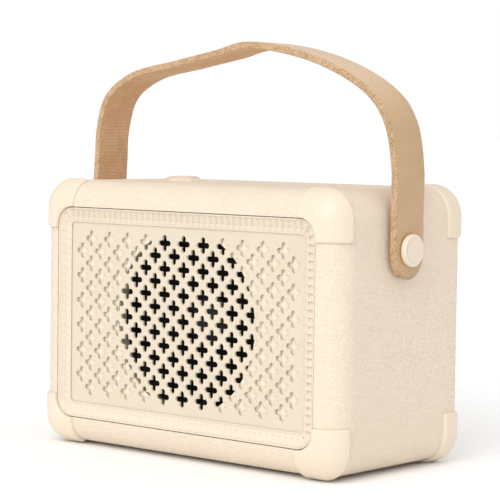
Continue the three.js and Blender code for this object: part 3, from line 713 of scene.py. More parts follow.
# ------------------------------------------------------------------ the box
@dataclass
class BoxForm:
    """Outer form of the box, in millimetres."""

    half_width: float = 65.1
    half_depth: float = 32.3
    half_height: float = 44.6
    middle: float = 45.6
    corner: float = 9.5
    front_round: float = 9.0
    rear_round: float = 2.8
    wall: float = 2.8
    window_half: tuple[float, float] = (56.2, 35.8)
    window_corner: float = 6.7
    guard_along: float = 16.0
    guard_front: float = 7.0
    guard_rear: float = 8.0
    guard_proud: float = 1.0
    guard_sunk: float = 0.9
    gap: float = 0.3

    @property
    def anchor(self) -> RoundedRing:
        """Inner rectangle that all the box's rings share."""
        return RoundedRing(self.half_width - self.corner, self.half_height - self.corner)

    def place(self, anchors: Array, directions: Array, rho: Array, depth: Array) -> Array:
        """Grid of points: row i lies at depth[i] with radius rho[i] round the anchors.

        Args:
            anchors: columns x 2.
            directions: columns x 2.
            rho: rows.
            depth: rows, along Y.

        Returns:
            Rows x columns x 3.
        """
        across = anchors[None, :, 0] + rho[:, None] * directions[None, :, 0]
        up = self.middle + anchors[None, :, 1] + rho[:, None] * directions[None, :, 1]
        return np.stack([across, np.repeat(depth[:, None], len(anchors), axis=1), up], axis=-1)

    def window_line(self, count: int) -> Array:
        """Corner of the front window from its top run to its right run, evenly spaced points x 2."""
        start = self.half_width - self.guard_along
        x, z = self.window_half[0] - self.window_corner, self.window_half[1] - self.window_corner
        angle = np.linspace(math.pi / 2, 0, 40)
        arc = np.array([x, z]) + self.window_corner * np.stack([np.cos(angle), np.sin(angle)], axis=1)
        first, last = [start, self.window_half[1]], [self.window_half[0], self.half_height - self.guard_along]
        line = np.vstack([first, arc, last])
        run = np.concatenate([[0.0], np.cumsum(np.linalg.norm(np.diff(line, axis=0), axis=1))])
        at = np.linspace(0, run[-1], count)
        return np.stack([np.interp(at, run, line[:, k]) for k in range(2)], axis=1)


@dataclass
class Housing:
    """The grained box between the guards."""

    box: BoxForm = field(default_factory=BoxForm)
    arc_steps: int = 14
    crisp: float = 0.02
    mouth_depth: float = 6.0
    hollow_radius: tuple[float, float, float] = (1.2, 6.7, 6.7)
    hollow_depth: tuple[float, float, float] = (-24.6, -18.0, 21.5)

    def columns(self) -> Array:
        """Distances round the ring: even steps on the runs, close pairs where a guard's recess begins."""
        ring, b = self.box.anchor, self.box
        arc = b.corner * math.pi / 2
        line_x = b.half_width - b.guard_along - b.gap
        line_z = b.half_height - b.guard_along - b.gap
        stops: list[Array] = []
        start = 0.0
        for half, line in [(ring.half_x, line_x), (ring.half_z, line_z)] * 2:
            marks = [half + place + shift for place in (-line, line) for shift in (-self.crisp, self.crisp)]
            stops.append(start + np.unique(np.concatenate([np.linspace(0, 2 * half, 13), marks])))
            start += 2 * half
            stops.append(start + np.linspace(0, arc, self.arc_steps + 1)[1:-1])
            start += arc
        return np.concatenate(stops)

    def build(self, finisher: Finisher) -> None:
        """Makes the shell: the box form swept round its ring, sunk by a step where the guards sit.

        The profile runs from inside the rear rim, round the rear edge, along the side, round the front edge,
        into the front window and back inside the wall, and closes on itself.
        """
        b = self.box
        arc = b.corner * math.pi / 2
        anchors, directions = b.anchor.sample(self.columns(), arc)
        rear_angle = np.linspace(math.pi / 2, 0, 7)
        front_angle = np.linspace(0, math.pi / 2 - 0.02, 18)
        side = b.half_depth - b.rear_round, -b.half_depth + b.front_round
        front_line = -b.half_depth + b.guard_front + b.gap
        rear_line = b.half_depth - b.guard_rear - b.gap
        split = math.asin((side[1] - front_line) / b.front_round)
        front_angle = np.sort(np.append(front_angle, [split - 0.002, split + 0.002]))
        run_y = np.array([rear_line + self.crisp, rear_line - self.crisp, 12.0, 0.0, -12.0])
        rho = np.concatenate([
            b.corner - b.rear_round * (1 - np.cos(rear_angle)), np.full(len(run_y), b.corner),
            b.corner - b.front_round * (1 - np.cos(front_angle)),
        ])
        depth = np.concatenate([
            side[0] + b.rear_round * np.sin(rear_angle), run_y, side[1] - b.front_round * np.sin(front_angle),
        ])
        lean = np.concatenate([rear_angle, np.zeros(len(run_y)), -front_angle])
        skin = b.place(anchors, directions, rho, depth)
        across, up = np.abs(skin[..., 0]), np.abs(skin[..., 2] - b.middle)
        under = (across > b.half_width - b.guard_along - b.gap) & (up > b.half_height - b.guard_along - b.gap)
        under &= (skin[..., 1] < front_line) | (skin[..., 1] > rear_line)
        sink = np.where(under, b.guard_sunk, 0.0)
        skin[..., 0] -= sink * directions[None, :, 0] * np.cos(lean)[:, None]
        skin[..., 2] -= sink * directions[None, :, 1] * np.cos(lean)[:, None]
        skin[..., 1] -= sink * np.sin(lean)[:, None]

        limit = np.array(b.window_half) - b.window_corner
        window_anchor = np.clip(anchors, -limit, limit)
        mouth_depth = np.array([-b.half_depth, -b.half_depth + self.mouth_depth])
        mouth = b.place(window_anchor, directions, np.full(2, b.window_corner), mouth_depth)
        mouth[0, :, 1] += np.where(under[-1], b.guard_sunk, 0.0)
        hollow = b.place(anchors, directions, np.array(self.hollow_radius), np.array(self.hollow_depth))
        grid = np.concatenate([skin, mouth, hollow])
        rows, columns = grid.shape[:2]
        make_piece(
            "grained_housing", grid.reshape(-1, 3), grid_quads(rows, columns, True, True),
            [finisher.get("shell")], Body.HOUSING, ("housing_shell",), sharp_degrees=32.0,
        )


@dataclass
class CornerGuard:
    """A rounded guard wrapped over one corner of the box, proud of it and with soft edges."""

    right: bool
    upper: bool
    rear: bool
    box: BoxForm = field(default_factory=BoxForm)
    edge_round: float = 1.0
    inside: float = -0.6
    cover: float = 0.27
    last_turn: float = math.radians(88)
    ease_share: float = 0.86  # part of the half wave that spaces the rows round the front rounding
    ease_end: float = 0.9524

    def base(self) -> tuple[Array, Array]:
        """Points and normals of the box form under the guard, for the upper right corner.

        Returns:
            Rows x columns x 3 points on the box form, and their normals.
        """
        b = self.box
        ring = b.anchor
        reach = b.guard_along + self.cover - b.corner
        arc = b.corner * math.pi / 2
        ease = 0.5 - 0.5 * np.cos(np.linspace(0, math.pi, 46))
        # distances run from the guard's end on the top, round the corner's arc, to its end on the side
        distance = (2 * reach + arc) * ease
        stops = [0, reach, reach + arc, 2 * reach + arc]
        corner_x = np.interp(distance, stops, [ring.half_x - reach, ring.half_x, ring.half_x, ring.half_x])
        corner_z = np.interp(distance, stops, [ring.half_z, ring.half_z, ring.half_z, ring.half_z - reach])
        angle = np.interp(distance, stops, [math.pi / 2, math.pi / 2, 0, 0])
        anchors = np.stack([corner_x, corner_z], axis=1)
        directions = np.stack([np.cos(angle), np.sin(angle)], axis=1)
        if self.rear:
            side_y = b.half_depth - b.rear_round
            start = b.half_depth - b.guard_rear - self.cover
            run = start + np.linspace(0, 1, 16) ** 1.3 * (side_y - start)
            turn = np.linspace(0, math.pi / 2, 12)
            lean = np.concatenate([np.zeros(len(run) - 1), turn])
            depth = np.concatenate([run[:-1], side_y + b.rear_round * np.sin(turn)])
            turned_rho = b.corner - b.rear_round * (1 - np.cos(turn))
            rho = np.concatenate([np.full(len(run) - 1, b.corner), turned_rho])
        else:
            first = math.asin((b.front_round - b.guard_front - self.cover) / b.front_round)
            soft = 0.5 - 0.5 * np.cos(np.linspace(0, math.pi * self.ease_share, 30))
            turn = first + soft / self.ease_end * (self.last_turn - first)
            lean = -turn
            depth = -b.half_depth + b.front_round * (1 - np.sin(turn))
            rho = b.corner - b.front_round * (1 - np.cos(turn))
        points = b.place(anchors, directions, rho, depth)
        normals = np.stack([
            directions[None, :, 0] * np.cos(lean)[:, None],
            np.repeat(np.sin(lean)[:, None], len(anchors), axis=1),
            directions[None, :, 1] * np.cos(lean)[:, None],
        ], axis=-1)
        if not self.rear:
            points, normals = self.add_spandrel(points, normals)
        return points, normals

    def add_spandrel(self, points: Array, normals: Array) -> tuple[Array, Array]:
        """Adds the flat piece between the front rounding and the window's rounded corner."""
        b = self.box
        rim = b.window_line(points.shape[1])
        target = np.stack([rim[:, 0], np.full(len(rim), -b.half_depth), rim[:, 1] + b.middle], axis=1)
        share = np.sin(np.linspace(0, math.pi / 2, 9))[1:, None, None]
        flat = points[-1][None] * (1 - share) + target[None] * share
        flat[..., 1] = -b.half_depth
        forward = np.broadcast_to(np.array([0.0, -1.0, 0.0]), flat.shape)
        return np.concatenate([points, flat]), np.concatenate([normals, forward])

    def build(self, finisher: Finisher) -> None:
        """Makes the guard: the box form lifted by the proud height, which falls off in a quarter round.

        With e the nearness to an edge over the radius r, the fall is r - r sqrt(1 - min(1, sum e^2)).
        """
        b = self.box
        points, normals = self.base()
        along = np.linalg.norm(np.diff(points, axis=0), axis=2)
        down = np.concatenate([np.zeros((1, points.shape[1])), np.cumsum(along, axis=0)])
        around = np.linalg.norm(np.diff(points, axis=1), axis=2)
        sideways = np.concatenate([np.zeros((points.shape[0], 1)), np.cumsum(around, axis=1)], axis=1)
        last = sideways[:, -1:] - sideways
        # a row too short to have two separate side edges keeps its height
        sideways = np.where(sideways[:, -1:] > 4 * self.edge_round, np.minimum(sideways, last), 9.0)
        near = [down, down[-1:] - down, sideways]
        nearness = sum(np.clip(1 - d / self.edge_round, 0, 1) ** 2 for d in near)
        fall = self.edge_round * (1 - np.sqrt(1 - np.minimum(nearness, 1)))
        outer = points + normals * (b.guard_proud - fall)[..., None]
        inner = points + normals * self.inside
        reach = self.cover + (b.guard_rear if self.rear else b.guard_front)
        limit = b.half_depth - reach if self.rear else -b.half_depth + reach
        for skin in (outer, inner):
            skin[..., 1] = np.maximum(skin[..., 1], limit) if self.rear else np.minimum(skin[..., 1], limit)
        rows, columns = outer.shape[:2]
        count = rows * columns
        quads = grid_quads(rows, columns)
        edge = np.concatenate([
            np.arange(columns), np.arange(1, rows) * columns + columns - 1,
            (rows - 1) * columns + np.arange(columns - 2, -1, -1), np.arange(rows - 2, 0, -1) * columns,
        ])
        following = np.roll(edge, -1)
        wall = np.stack([edge, edge + count, following + count, following], axis=1)
        quads = np.concatenate([quads, quads[:, ::-1] + count, wall])
        grid = np.concatenate([outer.reshape(-1, 3), inner.reshape(-1, 3)])
        grid[:, 0] *= 1 if self.right else -1
        if not self.upper:
            grid[:, 2] = 2 * b.middle - grid[:, 2]
        depth = "rear" if self.rear else "front"
        height = "top" if self.upper else "bottom"
        name = f"{depth}_{height}_" + ("right" if self.right else "left")
        make_piece(
            "guard_" + name, grid, quads, [finisher.get("guard")], Body.HOUSING,
            ("corner_guard_" + name,), sharp_degrees=50.0,
        )


# ------------------------------------------------------------------ front
@dataclass
class Bezel:
    """Sloping frame round the grille, ribbed across its band."""

    box: BoxForm = field(default_factory=BoxForm)
    opening: tuple[float, float] = (51.0, 30.6)
    inner_radius: float = 1.5
    band: float = 4.9
    drop: float = 1.3
    deep: float = 4.0
    ribs: int = 136
    steps_per_rib: int = 8
    rib_height: float = 0.75
    profile: tuple[tuple[float, float], ...] = (  # distance from the inner edge, depth under the slope
        (4.9, 4.0), (4.9, 0.12), (4.82, 0.02), (4.6, 0.0), (4.42, 0.02), (4.36, 0.3), (4.25, 0.32),
        (4.13, 0.0), (3.6, 0.0), (2.8, 0.0), (1.9, 0.0), (1.1, 0.0), (0.73, 0.0), (0.62, 0.3), (0.54, 0.3),
        (0.44, 0.02), (0.2, 0.0), (0.05, 0.03), (0.0, 0.1), (0.0, 0.25), (1.8, 0.25), (1.8, 2.68),
    )
    front_points: int = 18

    def build(self, finisher: Finisher) -> None:
        """Makes the frame: a closed profile swept round the opening, its band raised in ridges.

        Each rib is a slope that sinks by rib_height as it goes on and then steps back up, none at the rims.
        """
        arc = math.pi / 2 * (self.inner_radius + self.band / 2)
        ring = RoundedRing(self.opening[0] - self.inner_radius, self.opening[1] - self.inner_radius)
        length = ring.length(arc)
        distance = np.arange(self.ribs * self.steps_per_rib) * length / (self.ribs * self.steps_per_rib)
        anchors, directions = ring.sample(distance, arc)
        profile = np.array(self.profile)
        u, lower = profile[:, 0], profile[:, 1]
        slope = self.drop * (1 - u / self.band)
        fade = np.interp(u, [0.62, 0.73, 4.13, 4.25], [0.0, 1.0, 1.0, 0.0])
        fade *= np.arange(len(u)) < self.front_points
        step = np.arange(len(distance)) % self.steps_per_rib
        wave = self.rib_height * step / (self.steps_per_rib - 1)
        depth = (slope + lower)[:, None] + fade[:, None] * wave[None, :]
        depth[0], depth[-1] = self.deep, self.deep
        rho = (self.inner_radius + u)[:, None]
        grid = np.stack([
            anchors[None, :, 0] + rho * directions[None, :, 0],
            depth - self.box.half_depth,
            self.box.middle + anchors[None, :, 1] + rho * directions[None, :, 1],
        ], axis=-1)
        rows, columns = grid.shape[:2]
        make_piece(
            "ribbed_frame", grid.reshape(-1, 3), grid_quads(rows, columns, True, True),
            [finisher.get("bezel")], Body.HOUSING, ("bezel_frame",), sharp_degrees=62.0,
        )


@dataclass
class Grille:
    """Plate pierced by rows of rounded crosses, built of one diamond tile per cross."""

    box: BoxForm = field(default_factory=BoxForm)
    front: float = -30.55
    back: float = -29.65
    pitch: float = 8.4
    rows: int = 13
    columns: int = 12
    arm_reach: float = 2.7
    arm_half: float = 0.9
    plate_half: tuple[float, float] = (52.5, 32.1)
    bevel: float = 0.28

    def outline(self, grow: float) -> Array:
        """Cross moved outwards by grow: four half-round arm ends and the corners between them, points x 2."""
        angle = np.linspace(-math.pi / 2, math.pi / 2, 9)
        centre = self.arm_reach - self.arm_half
        half = self.arm_half + grow
        arm = np.stack([centre + half * np.cos(angle), half * np.sin(angle)], axis=1)
        notch = np.array([[half, half]])
        one = np.vstack([arm, notch])
        turns = [np.array([[0, 1], [-1, 0]]), -np.eye(2), np.array([[0, -1], [1, 0]])]
        return np.vstack([one, *(one @ turn for turn in turns)])

    def tile(self) -> Array:
        """Rings of one tile: its diamond edge, the hole's round rim and wall, and the diamond on the back."""
        cross = self.outline(0.0)
        diamond = cross / np.abs(cross).sum(axis=1, keepdims=True) * (self.pitch / 2)
        quarter_turn = np.linspace(0, math.pi / 2, 4)
        rings = [np.column_stack([diamond, np.full(len(cross), self.front)])]
        rings.append(np.column_stack([self.outline(self.bevel + 0.08), np.full(len(cross), self.front)]))
        for turn in quarter_turn:
            level = self.front + self.bevel * (1 - math.cos(turn))
            rim = self.outline(self.bevel * (1 - math.sin(turn)))
            rings.append(np.column_stack([rim, np.full(len(cross), level)]))
        rings.append(np.column_stack([cross, np.full(len(cross), self.back)]))
        rings.append(np.column_stack([diamond, np.full(len(cross), self.back)]))
        return np.stack(rings)[:, :, [0, 2, 1]]

    def border(self) -> tuple[Array, Array]:
        """Flat margin between the outermost tiles and the plate's edge, on both faces, with the edge wall.

        The zigzag of the outermost diamonds is joined, point by point, to the nearest place on the edge.

        Returns:
            Points and quads.
        """
        half = self.pitch / 2
        nx = self.columns - 1
        ks = np.arange(-nx, nx + 1)
        rise = self.rows // 2
        top = np.stack([ks * half, np.where(ks % 2 == 0, rise + 1, rise) * half], axis=1)
        js = np.arange(-self.rows // 2 + 1, self.rows // 2 + 1)
        side = np.stack([np.where(js % 2 == 0, nx * half, (nx + 1) * half), js * half], axis=1)
        inner = np.vstack([top[::-1], side[::-1][1:] * [-1, 1], top[1:] * [1, -1], side[1:-1]])
        x, z = self.plate_half
        outer = inner.copy()
        runs_top = np.abs(inner[:, 1]) >= (self.rows // 2) * half - 1e-6
        outer[runs_top, 1] = np.sign(inner[runs_top, 1]) * z
        outer[~runs_top, 0] = np.sign(inner[~runs_top, 0]) * x
        ends = runs_top & (np.abs(inner[:, 0]) >= nx * half - 1e-6)
        outer[ends] = np.sign(inner[ends]) * [x, z]
        count = len(inner)
        levels = [(inner, self.front), (outer, self.front), (outer, self.back), (inner, self.back)]
        points = np.concatenate([np.column_stack([p[:, 0], np.full(count, y), p[:, 1]]) for p, y in levels])
        return points, grid_quads(4, count, False, True)

    @staticmethod
    def facing_front(points: Array, quads: Array) -> Array:
        """The quads, turned over if the first of them, which lies on the front face, looks backwards."""
        a, b, c = points[quads[0, :3]]
        return quads[:, ::-1] if np.cross(b - a, c - a)[1] > 0 else quads

    def build(self, finisher: Finisher) -> None:
        """Makes the plate from its tiles, staggered by half a pitch from row to row, and its margin."""
        tile = self.tile()
        levels, count = tile.shape[:2]
        centres = []
        for r in range(self.rows):
            crosses = self.columns - 1 if r % 2 == 0 else self.columns
            x = (np.arange(crosses) - (crosses - 1) / 2) * self.pitch
            up = np.full(crosses, (r - (self.rows - 1) / 2) * self.pitch / 2)
            centres.append(np.column_stack([x, np.zeros(crosses), up]))
        centre = np.vstack(centres)
        points = (centre[:, None, :] + tile.reshape(1, -1, 3)).reshape(-1, 3)
        offset = np.arange(len(centre))[:, None, None] * levels * count
        quads = (offset + grid_quads(levels, count, False, True)[None]).reshape(-1, 4)
        margin, margin_quads = self.border()
        quads, margin_quads = self.facing_front(points, quads), self.facing_front(margin, margin_quads)
        quads = np.concatenate([quads, margin_quads + len(points)])
        points = np.concatenate([points, margin]) + [0, 0, self.box.middle]
        make_piece(
            "pierced_grille", points, quads, [finisher.get("grille")], Body.HOUSING,
            ("grille_plate",), sharp_degrees=48.0,
        )


@dataclass
class SpeakerFront:
    """Cone, dust cap and surround of the loudspeaker, turned round its axis."""

    box: BoxForm = field(default_factory=BoxForm)
    sides: int = 96
    cone_radius: tuple[float, float] = (24.3, 8.0)
    cone_front: float = -25.4
    cone_depth: float = 9.2
    cone_wall: float = 0.65
    cap_radius: float = 8.85
    cap_front: float = -21.25
    cap_rise: float = 3.2
    cap_wall: float = 0.15
    roll_centre: tuple[float, float] = (26.8, -25.9)
    roll_size: tuple[float, float] = (2.2, 1.65)
    roll_wall: float = 0.5
    skirt: tuple[float, float] = (29.25, -25.6)

    def turned(self, name: str, profile: Array, slot: str, body: Body, finisher: Finisher, node: str) -> None:
        """Makes one turned piece on the speaker's axis from a closed profile, in the finish of its slot."""
        centre = np.array([0.0, 0.0, self.box.middle])
        points = turned_points(profile, self.sides, centre, "y")
        quads = grid_quads(len(profile), self.sides, True, True)
        make_piece(name, points, quads, [finisher.get(slot)], body, (node,), sharp_degrees=50.0)

    def build(self, finisher: Finisher) -> None:
        """Makes the cone as a flared shell, the cap as a dome r^2 deep, and the surround as a half roll."""
        t = np.linspace(0, 1, 24)
        rim, neck = self.cone_radius
        flare = np.column_stack([rim - (rim - neck) * t, self.cone_front + self.cone_depth * t**0.85])
        cone = np.vstack([flare, flare[::-1] + [0.05, self.cone_wall]])
        self.turned("speaker_cone_skin", cone, "cone", Body.CONE, finisher, "speaker_cone")
        r = np.linspace(0.0, self.cap_radius, 16)
        dome = np.column_stack([r, self.cap_front + self.cap_rise * (r / self.cap_radius) ** 2])
        cap = np.vstack([dome, dome[::-1] + [0.0, self.cap_wall]])
        self.turned("dust_cap_dome", cap, "dust_cap", Body.CONE, finisher, "dust_cap")
        a = np.linspace(math.pi, 0, 14)
        wide, high = self.roll_size
        roll = self.roll_centre + np.column_stack([wide * np.cos(a), -high * np.sin(a)])
        roll[-1, 0] = self.skirt[0] - 0.05
        surround = np.vstack([roll, [self.skirt], roll[::-1] + [0, self.roll_wall]])
        self.turned("surround_roll", surround, "rubber", Body.HOUSING, finisher, "speaker_surround")


# ------------------------------------------------------------------ strap and its buttons
@dataclass
class Strap:
    """Carrying strap: one leather strip bent into an arch, its legs held by a button at each side."""

    line: float = 67.6
    pivot: tuple[float, float] = (-1.2, 71.2)
    rise: float = 64.6
    width: float = 15.0
    thick: float = 2.3
    edge: float = 0.5
    middle: tuple[tuple[float, float, float], ...] = (
        (1.0, 0.0, -0.025), (1.0, 0.0, 0.0), (1.0, 0.0, 0.22), (0.998, 0.0, 0.41), (0.98, -2.6, 0.62),
        (0.905, -4.6, 0.75), (0.61, -5.0, 0.908), (0.16, -4.0, 0.995), (-0.08, -1.8, 0.957),
        (-0.37, 0.9, 0.912), (-0.73, 3.3, 0.846), (-0.92, 4.9, 0.732), (-0.988, 5.6, 0.56), (-1.0, 5.7, 0.4),
        (-1.0, 4.6, 0.22), (-1.0, 0.0, 0.0), (-1.0, -0.5, -0.025),
    )

    def section(self, half_width: Array) -> tuple[Array, Array]:
        """Rounded-edge cross-section for each half width, starting in the middle of the inner face.

        Args:
            half_width: rows.

        Returns:
            Across and through offsets, rows x points.
        """
        turn = np.linspace(0, math.pi / 2, 5)
        corner = np.concatenate([turn + k * math.pi / 2 for k in (-1, 0, 1, 2)])
        side_x = np.repeat([1, 1, -1, -1], 5)
        side_z = np.repeat([-1, 1, 1, -1], 5)
        flat = np.clip(half_width - self.edge, 0, None)[:, None]
        radius = np.minimum(half_width, self.edge)[:, None]
        across = side_x * flat + radius * np.cos(corner)
        through = side_z * (self.thick / 2 - self.edge) + self.edge * np.sin(corner)[None] + 0 * flat
        return across, through

    def build(self, finisher: Finisher) -> None:
        """Makes the strip: the section carried along the curve, half round past each pivot.

        Past an end the half width is half the strap's width times sin(a), at that half times cos(a) beyond.
        """
        table = np.array(self.middle)
        control = np.column_stack([
            table[:, 0] * self.line, self.pivot[0] + table[:, 1], self.pivot[1] + table[:, 2] * self.rise,
        ])
        place, tangent, run = centripetal_curve(control, 261)
        half = self.width / 2
        a = np.linspace(0.0, math.pi / 2, 12)[:-1]
        beyond = half * np.cos(a)[:, None]
        start = place[0] - tangent[0] * beyond
        finish = (place[-1] + tangent[-1] * beyond)[::-1]
        places = np.vstack([start, place, finish])
        first, last = (np.repeat(end, len(a), axis=0) for end in (tangent[:1], tangent[-1:]))
        tangents = np.vstack([first, tangent, last])
        widths = np.concatenate([half * np.sin(a), np.full(len(place), half), (half * np.sin(a))[::-1]])
        u = np.concatenate([-beyond[:, 0], run, (run[-1] + beyond[:, 0])[::-1]])
        # cut edges are never dead straight, so the half width wanders by a few hundredths
        wave = 0.05 * np.sin(u * 0.31) + 0.04 * np.sin(u * 0.83 + 1.0)
        across_axis = np.array([0.0, 1.0, 0.0]) - tangents * tangents[:, 1:2]
        across_axis /= np.linalg.norm(across_axis, axis=1, keepdims=True)
        through_axis = np.cross(across_axis, tangents)
        across, through = self.section(np.where(widths > 1, widths - 0.06 + wave * 0.6, widths))
        grid = places[:, None] + across[..., None] * across_axis[:, None]
        grid += through[..., None] * through_axis[:, None]
        rows, columns = grid.shape[:2]
        quads = grid_quads(rows, columns, False, True)
        outline = np.stack([across[rows // 2], through[rows // 2]], axis=1)
        steps = np.linalg.norm(np.diff(outline, axis=0, append=outline[:1]), axis=1)
        v = np.concatenate([[0.0], np.cumsum(steps)])
        uv = grid_uv(u * MM, v * MM)
        # the section's four corners belong to the edges; the long steps between them are the two faces
        column = np.tile(np.arange(columns), rows - 1)
        outside, inside = (9, 19) if through_axis[rows // 2, 2] >= 0 else (19, 9)
        faces = [StrapFace.GRAIN.value, StrapFace.FLESH.value]
        face = np.select([column == outside, column == inside], faces, StrapFace.EDGE.value)
        materials = [finisher.get(n) for n in ("leather", "leather_edge", "leather_flesh")]
        make_piece(
            "leather_strap", grid.reshape(-1, 3), quads, materials, Body.STRAP, ("strap",),
            uv, face, sharp_degrees=50.0,
        )


@dataclass
class StrapButton:
    """Flat round button that holds a leg of the strap, with a soft rim and a shank into the box."""

    right: bool
    pivot: tuple[float, float] = (-1.2, 71.2)
    radius: float = 5.1
    under: float = 69.1
    face: float = 70.8
    foot: float = 58.8
    shank: float = 2.0

    def build(self, finisher: Finisher) -> None:
        """Turns the button's rounded profile round the pivot."""
        profile = rounded_profile([
            (0.0, self.foot, 0), (self.shank, self.foot, 0), (self.shank, self.under, 0),
            (self.radius, self.under, 0.25), (self.radius, self.face, 0.6),
            (self.radius - 1.1, self.face, 0.3), (self.radius - 1.4, self.face - 0.09, 0.3),
            (0.0, self.face - 0.05, 0),
        ])
        points = turned_points(profile, 72, np.array([0.0, self.pivot[0], self.pivot[1]]), "x")
        points[:, 0] *= 1 if self.right else -1
        side = "right" if self.right else "left"
        make_piece(
            "strap_snap_" + side, points, grid_quads(len(profile), 72, False, True), [finisher.get("guard")],
            Body.HOUSING, ("strap_button_" + side,), sharp_degrees=55.0,
        )


# ------------------------------------------------------------------ top buttons
@dataclass
class TopButtons:
    """The long power button and the three round keys in the top of the box."""

    top: float = 90.2
    flange_top: float = 87.1
    flange_low: float = 86.2
    foot: float = 85.0
    stem: float = 1.45
    power_x: float = -28.0
    power_half: tuple[float, float] = (5.4, 3.0)
    power_top: float = 91.3
    power_lip: float = 1.15
    key_radius: float = 3.3
    key_flange: float = 4.4
    keys: tuple[tuple[str, float], ...] = (
        ("volume_down_button", -8.0), ("play_button", 10.0), ("volume_up_button", 28.0),
    )

    def power(self, finisher: Finisher) -> None:
        """Sweeps rounded rectangles up from the stem, over the flange, to a cap with soft shoulders."""
        x, y = self.power_half
        lip = self.power_lip
        levels = [  # half across, half deep, corner, height
            (self.stem, self.stem, 1.4, self.foot), (self.stem, self.stem, 1.4, self.flange_low),
            (x + lip, y + lip, 1.2, self.flange_low), (x + lip, y + lip, 1.2, self.flange_top),
            (x, y, 0.9, self.flange_top), (x, y, 0.9, self.top + 0.05),
            (x - 0.22, y - 0.12, 1.0, self.top + 0.42), (x - 0.8, y - 0.45, 1.1, self.power_top - 0.3),
            (x - 1.3, y - 0.8, 1.1, self.power_top - 0.07), (x - 1.9, y - 1.3, 0.9, self.power_top),
        ]
        rows = []
        for half_x, half_y, corner, height in levels:
            arc = corner * math.pi / 2
            ring = RoundedRing(half_x - corner, half_y - corner)
            sides = np.concatenate([k + np.linspace(0, 1, 9)[:-1] for k in range(8)])
            lengths = np.concatenate([[0.0], np.cumsum([2 * ring.half_x, arc, 2 * ring.half_z, arc] * 2)])
            anchors, directions = ring.sample(np.interp(sides, np.arange(9), lengths), arc)
            outline = anchors + corner * directions
            level = np.full(len(outline), height)
            rows.append(np.column_stack([self.power_x + outline[:, 0], outline[:, 1], level]))
        centre = np.array([self.power_x, 0.0, 0.0])
        first = np.broadcast_to(centre + [0, 0, self.foot], rows[0].shape)
        last = np.broadcast_to(centre + [0, 0, self.power_top], rows[0].shape)
        grid = np.stack([first, *rows, last])
        make_piece(
            "power_cap", grid.reshape(-1, 3), grid_quads(*grid.shape[:2], False, True),
            [finisher.get("guard")], "power_button", ("power_button",), sharp_degrees=42.0,
        )

    def key(self, node: str, x: float, finisher: Finisher) -> None:
        """Turns one round key, slightly dished, just below the top face."""
        crown = self.top - 0.15
        profile = rounded_profile([
            (0.0, self.foot, 0), (self.stem, self.foot, 0), (self.stem, self.flange_low, 0),
            (self.key_flange, self.flange_low, 0.1), (self.key_flange, self.flange_top, 0.1),
            (self.key_radius, self.flange_top, 0), (self.key_radius, crown, 0.35),
            (self.key_radius - 0.9, crown - 0.04, 0.3), (0.0, crown - 0.22, 0),
        ])
        points = turned_points(profile, 64, np.array([x, 0.0, 0.0]), "z")
        make_piece(
            node.replace("_button", "_key"), points, grid_quads(len(profile), 64, False, True),
            [finisher.get("guard")], node, (node,), sharp_degrees=50.0,
        )

    def build(self, finisher: Finisher) -> None:
        """Makes all four."""
        self.power(finisher)
        for node, x in self.keys:
            self.key(node, x, finisher)


# ------------------------------------------------------------------ back
@dataclass
class RearCover:
    """Screwed plate that closes the back, its outline and its holes softened."""

    edge_round: float = 0.4
    segments: int = 3
    sharp_degrees: float = 40.0

    def build(self, finisher: Finisher) -> None:
        """Copies the frame's plate, merges its points and rounds its sharp edges."""
        work = bmesh.new()
        work.from_mesh(frame["nodes"]["rear_cover"].data)
        bmesh.ops.remove_doubles(work, verts=work.verts, dist=2e-6)
        bmesh.ops.dissolve_limit(work, angle_limit=math.radians(0.5), verts=work.verts, edges=work.edges)
        limit = math.radians(self.sharp_degrees)
        sharp = [edge for edge in work.edges if len(edge.link_faces) == 2 and edge.calc_face_angle() > limit]
        bmesh.ops.bevel(
            work, geom=sharp, offset=self.edge_round * MM, segments=self.segments, profile=0.5,
            affect="EDGES", clamp_overlap=True,
        )
        bmesh.ops.triangulate(work, faces=work.faces)
        mesh = bpy.data.meshes.new("soft_rear_cover")
        work.to_mesh(mesh)
        work.free()
        mesh.materials.clear()
        mesh.materials.append(finisher.get("guard"))
        mesh.shade_smooth()
        mesh.set_sharp_from_angle(angle=math.radians(35.0))
        plate = bpy.data.objects.new("soft_rear_cover", mesh)
        bpy.context.scene.collection.objects.link(plate)
        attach(plate, Body.HOUSING.value)
        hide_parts("rear_cover")
        log.info("soft_rear_cover: %d faces", len(mesh.polygons))


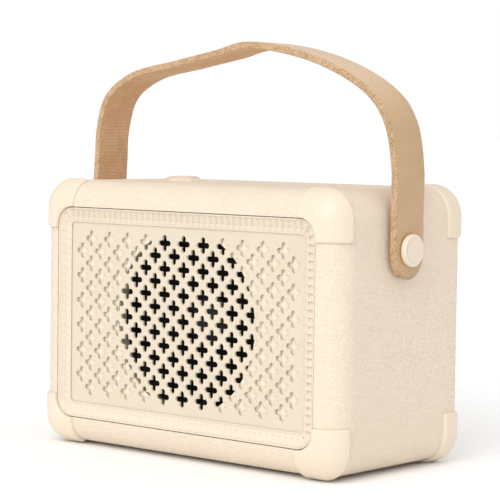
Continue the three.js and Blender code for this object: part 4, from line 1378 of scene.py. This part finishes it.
# ------------------------------------------------------------------ studio
@dataclass
class Studio:
    """Pale floor, soft lights and the camera."""

    eye: tuple[float, float, float] = (0.42919, -0.49775, 0.10716)
    forward: tuple[float, float, float] = (-0.6499, 0.7577, -0.0596)
    up: tuple[float, float, float] = (-0.0493, 0.0363, 0.9981)
    lens: float = 141.64
    sensor: float = 36.0
    world_strength: float = 0.66
    lights: tuple[tuple[str, float, float, tuple[float, float, float]], ...] = (
        ("key", 1.3, 50.0, (0.22, -0.76, 0.6)),
        ("fill", 0.38, 60.0, (0.1, -1.0, 0.1)),
        ("overhead", 0.45, 80.0, (0.2, 0.1, 1.0)),
    )

    def floor(self) -> None:
        """Makes the floor as one large square with a pale matte finish."""
        reach = 30.0
        mesh = bpy.data.meshes.new("floor")
        corners = [(-reach, -reach, 0), (reach, -reach, 0), (reach, reach, 0), (-reach, reach, 0)]
        mesh.from_pydata(corners, [], [(0, 1, 2, 3)])
        floor = bpy.data.objects.new("floor", mesh)
        bpy.context.scene.collection.objects.link(floor)
        paint = Finish(
            "pale_floor", (1.0, 1.0, 1.0), (0.995, 0.995, 0.995), 0.9, specular=0.1, mottle_scale=3.0,
            texture_height=0.000001,
        )
        mesh.materials.append(paint.build(Effects()))

    def lamps(self) -> None:
        """Adds the wide soft lights: a key, a fill from the front and one from overhead."""
        for name, strength, spread, source in self.lights:
            light = bpy.data.lights.new(name, "SUN")
            light.energy, light.angle, light.color = strength, math.radians(spread), (1.0, 1.0, 1.0)
            lamp = bpy.data.objects.new(name, light)
            lamp.rotation_euler = (-Vector(source)).to_track_quat("-Z", "Y").to_euler()
            bpy.context.scene.collection.objects.link(lamp)

    def room(self) -> None:
        """Adds the even white room: it shows as white and lights a little less than that."""
        world = bpy.data.worlds.new("white_room")
        world.use_nodes = True
        tree = Shader(world.node_tree)
        background = world.node_tree.nodes["Background"]
        background.inputs["Color"].default_value = (1.0, 1.0, 1.0, 1)
        seen = tree.node("LightPath").outputs["Is Camera Ray"]
        tree.feed(background.inputs["Strength"], tree.span(seen, 0.0, 1.0, self.world_strength, 1.0))
        bpy.context.scene.world = world

    def camera(self) -> None:
        """Places the camera from its eye point and its two axes."""
        data = bpy.data.cameras.new("camera")
        data.lens, data.sensor_width, data.clip_start, data.clip_end = self.lens, self.sensor, 0.01, 50.0
        holder = bpy.data.objects.new("camera", data)
        back = -Vector(self.forward).normalized()
        right = Vector(self.up).cross(back).normalized()
        upward = back.cross(right)
        turn = Matrix((right, upward, back)).transposed().to_4x4()
        holder.matrix_world = Matrix.Translation(Vector(self.eye)) @ turn
        bpy.context.scene.collection.objects.link(holder)
        bpy.context.scene.camera = holder

    def build(self) -> None:
        """Builds the studio."""
        self.floor()
        self.camera()
        self.lamps()
        self.room()
        bpy.context.scene.view_settings.view_transform = "Standard"


def main() -> None:
    """Builds every piece in order."""
    logging.basicConfig(level=logging.INFO, format="%(name)s %(message)s")
    Studio().build()
    finisher = Finisher()
    finisher.dress_frame()
    Housing().build(finisher)
    for rear in (False, True):
        for upper in (False, True):
            for right in (False, True):
                CornerGuard(right, upper, rear).build(finisher)
    Bezel().build(finisher)
    Grille().build(finisher)
    SpeakerFront().build(finisher)
    Strap().build(finisher)
    for right in (False, True):
        StrapButton(right).build(finisher)
    TopButtons().build(finisher)
    RearCover().build(finisher)


if __name__ == "__main__":
    main()
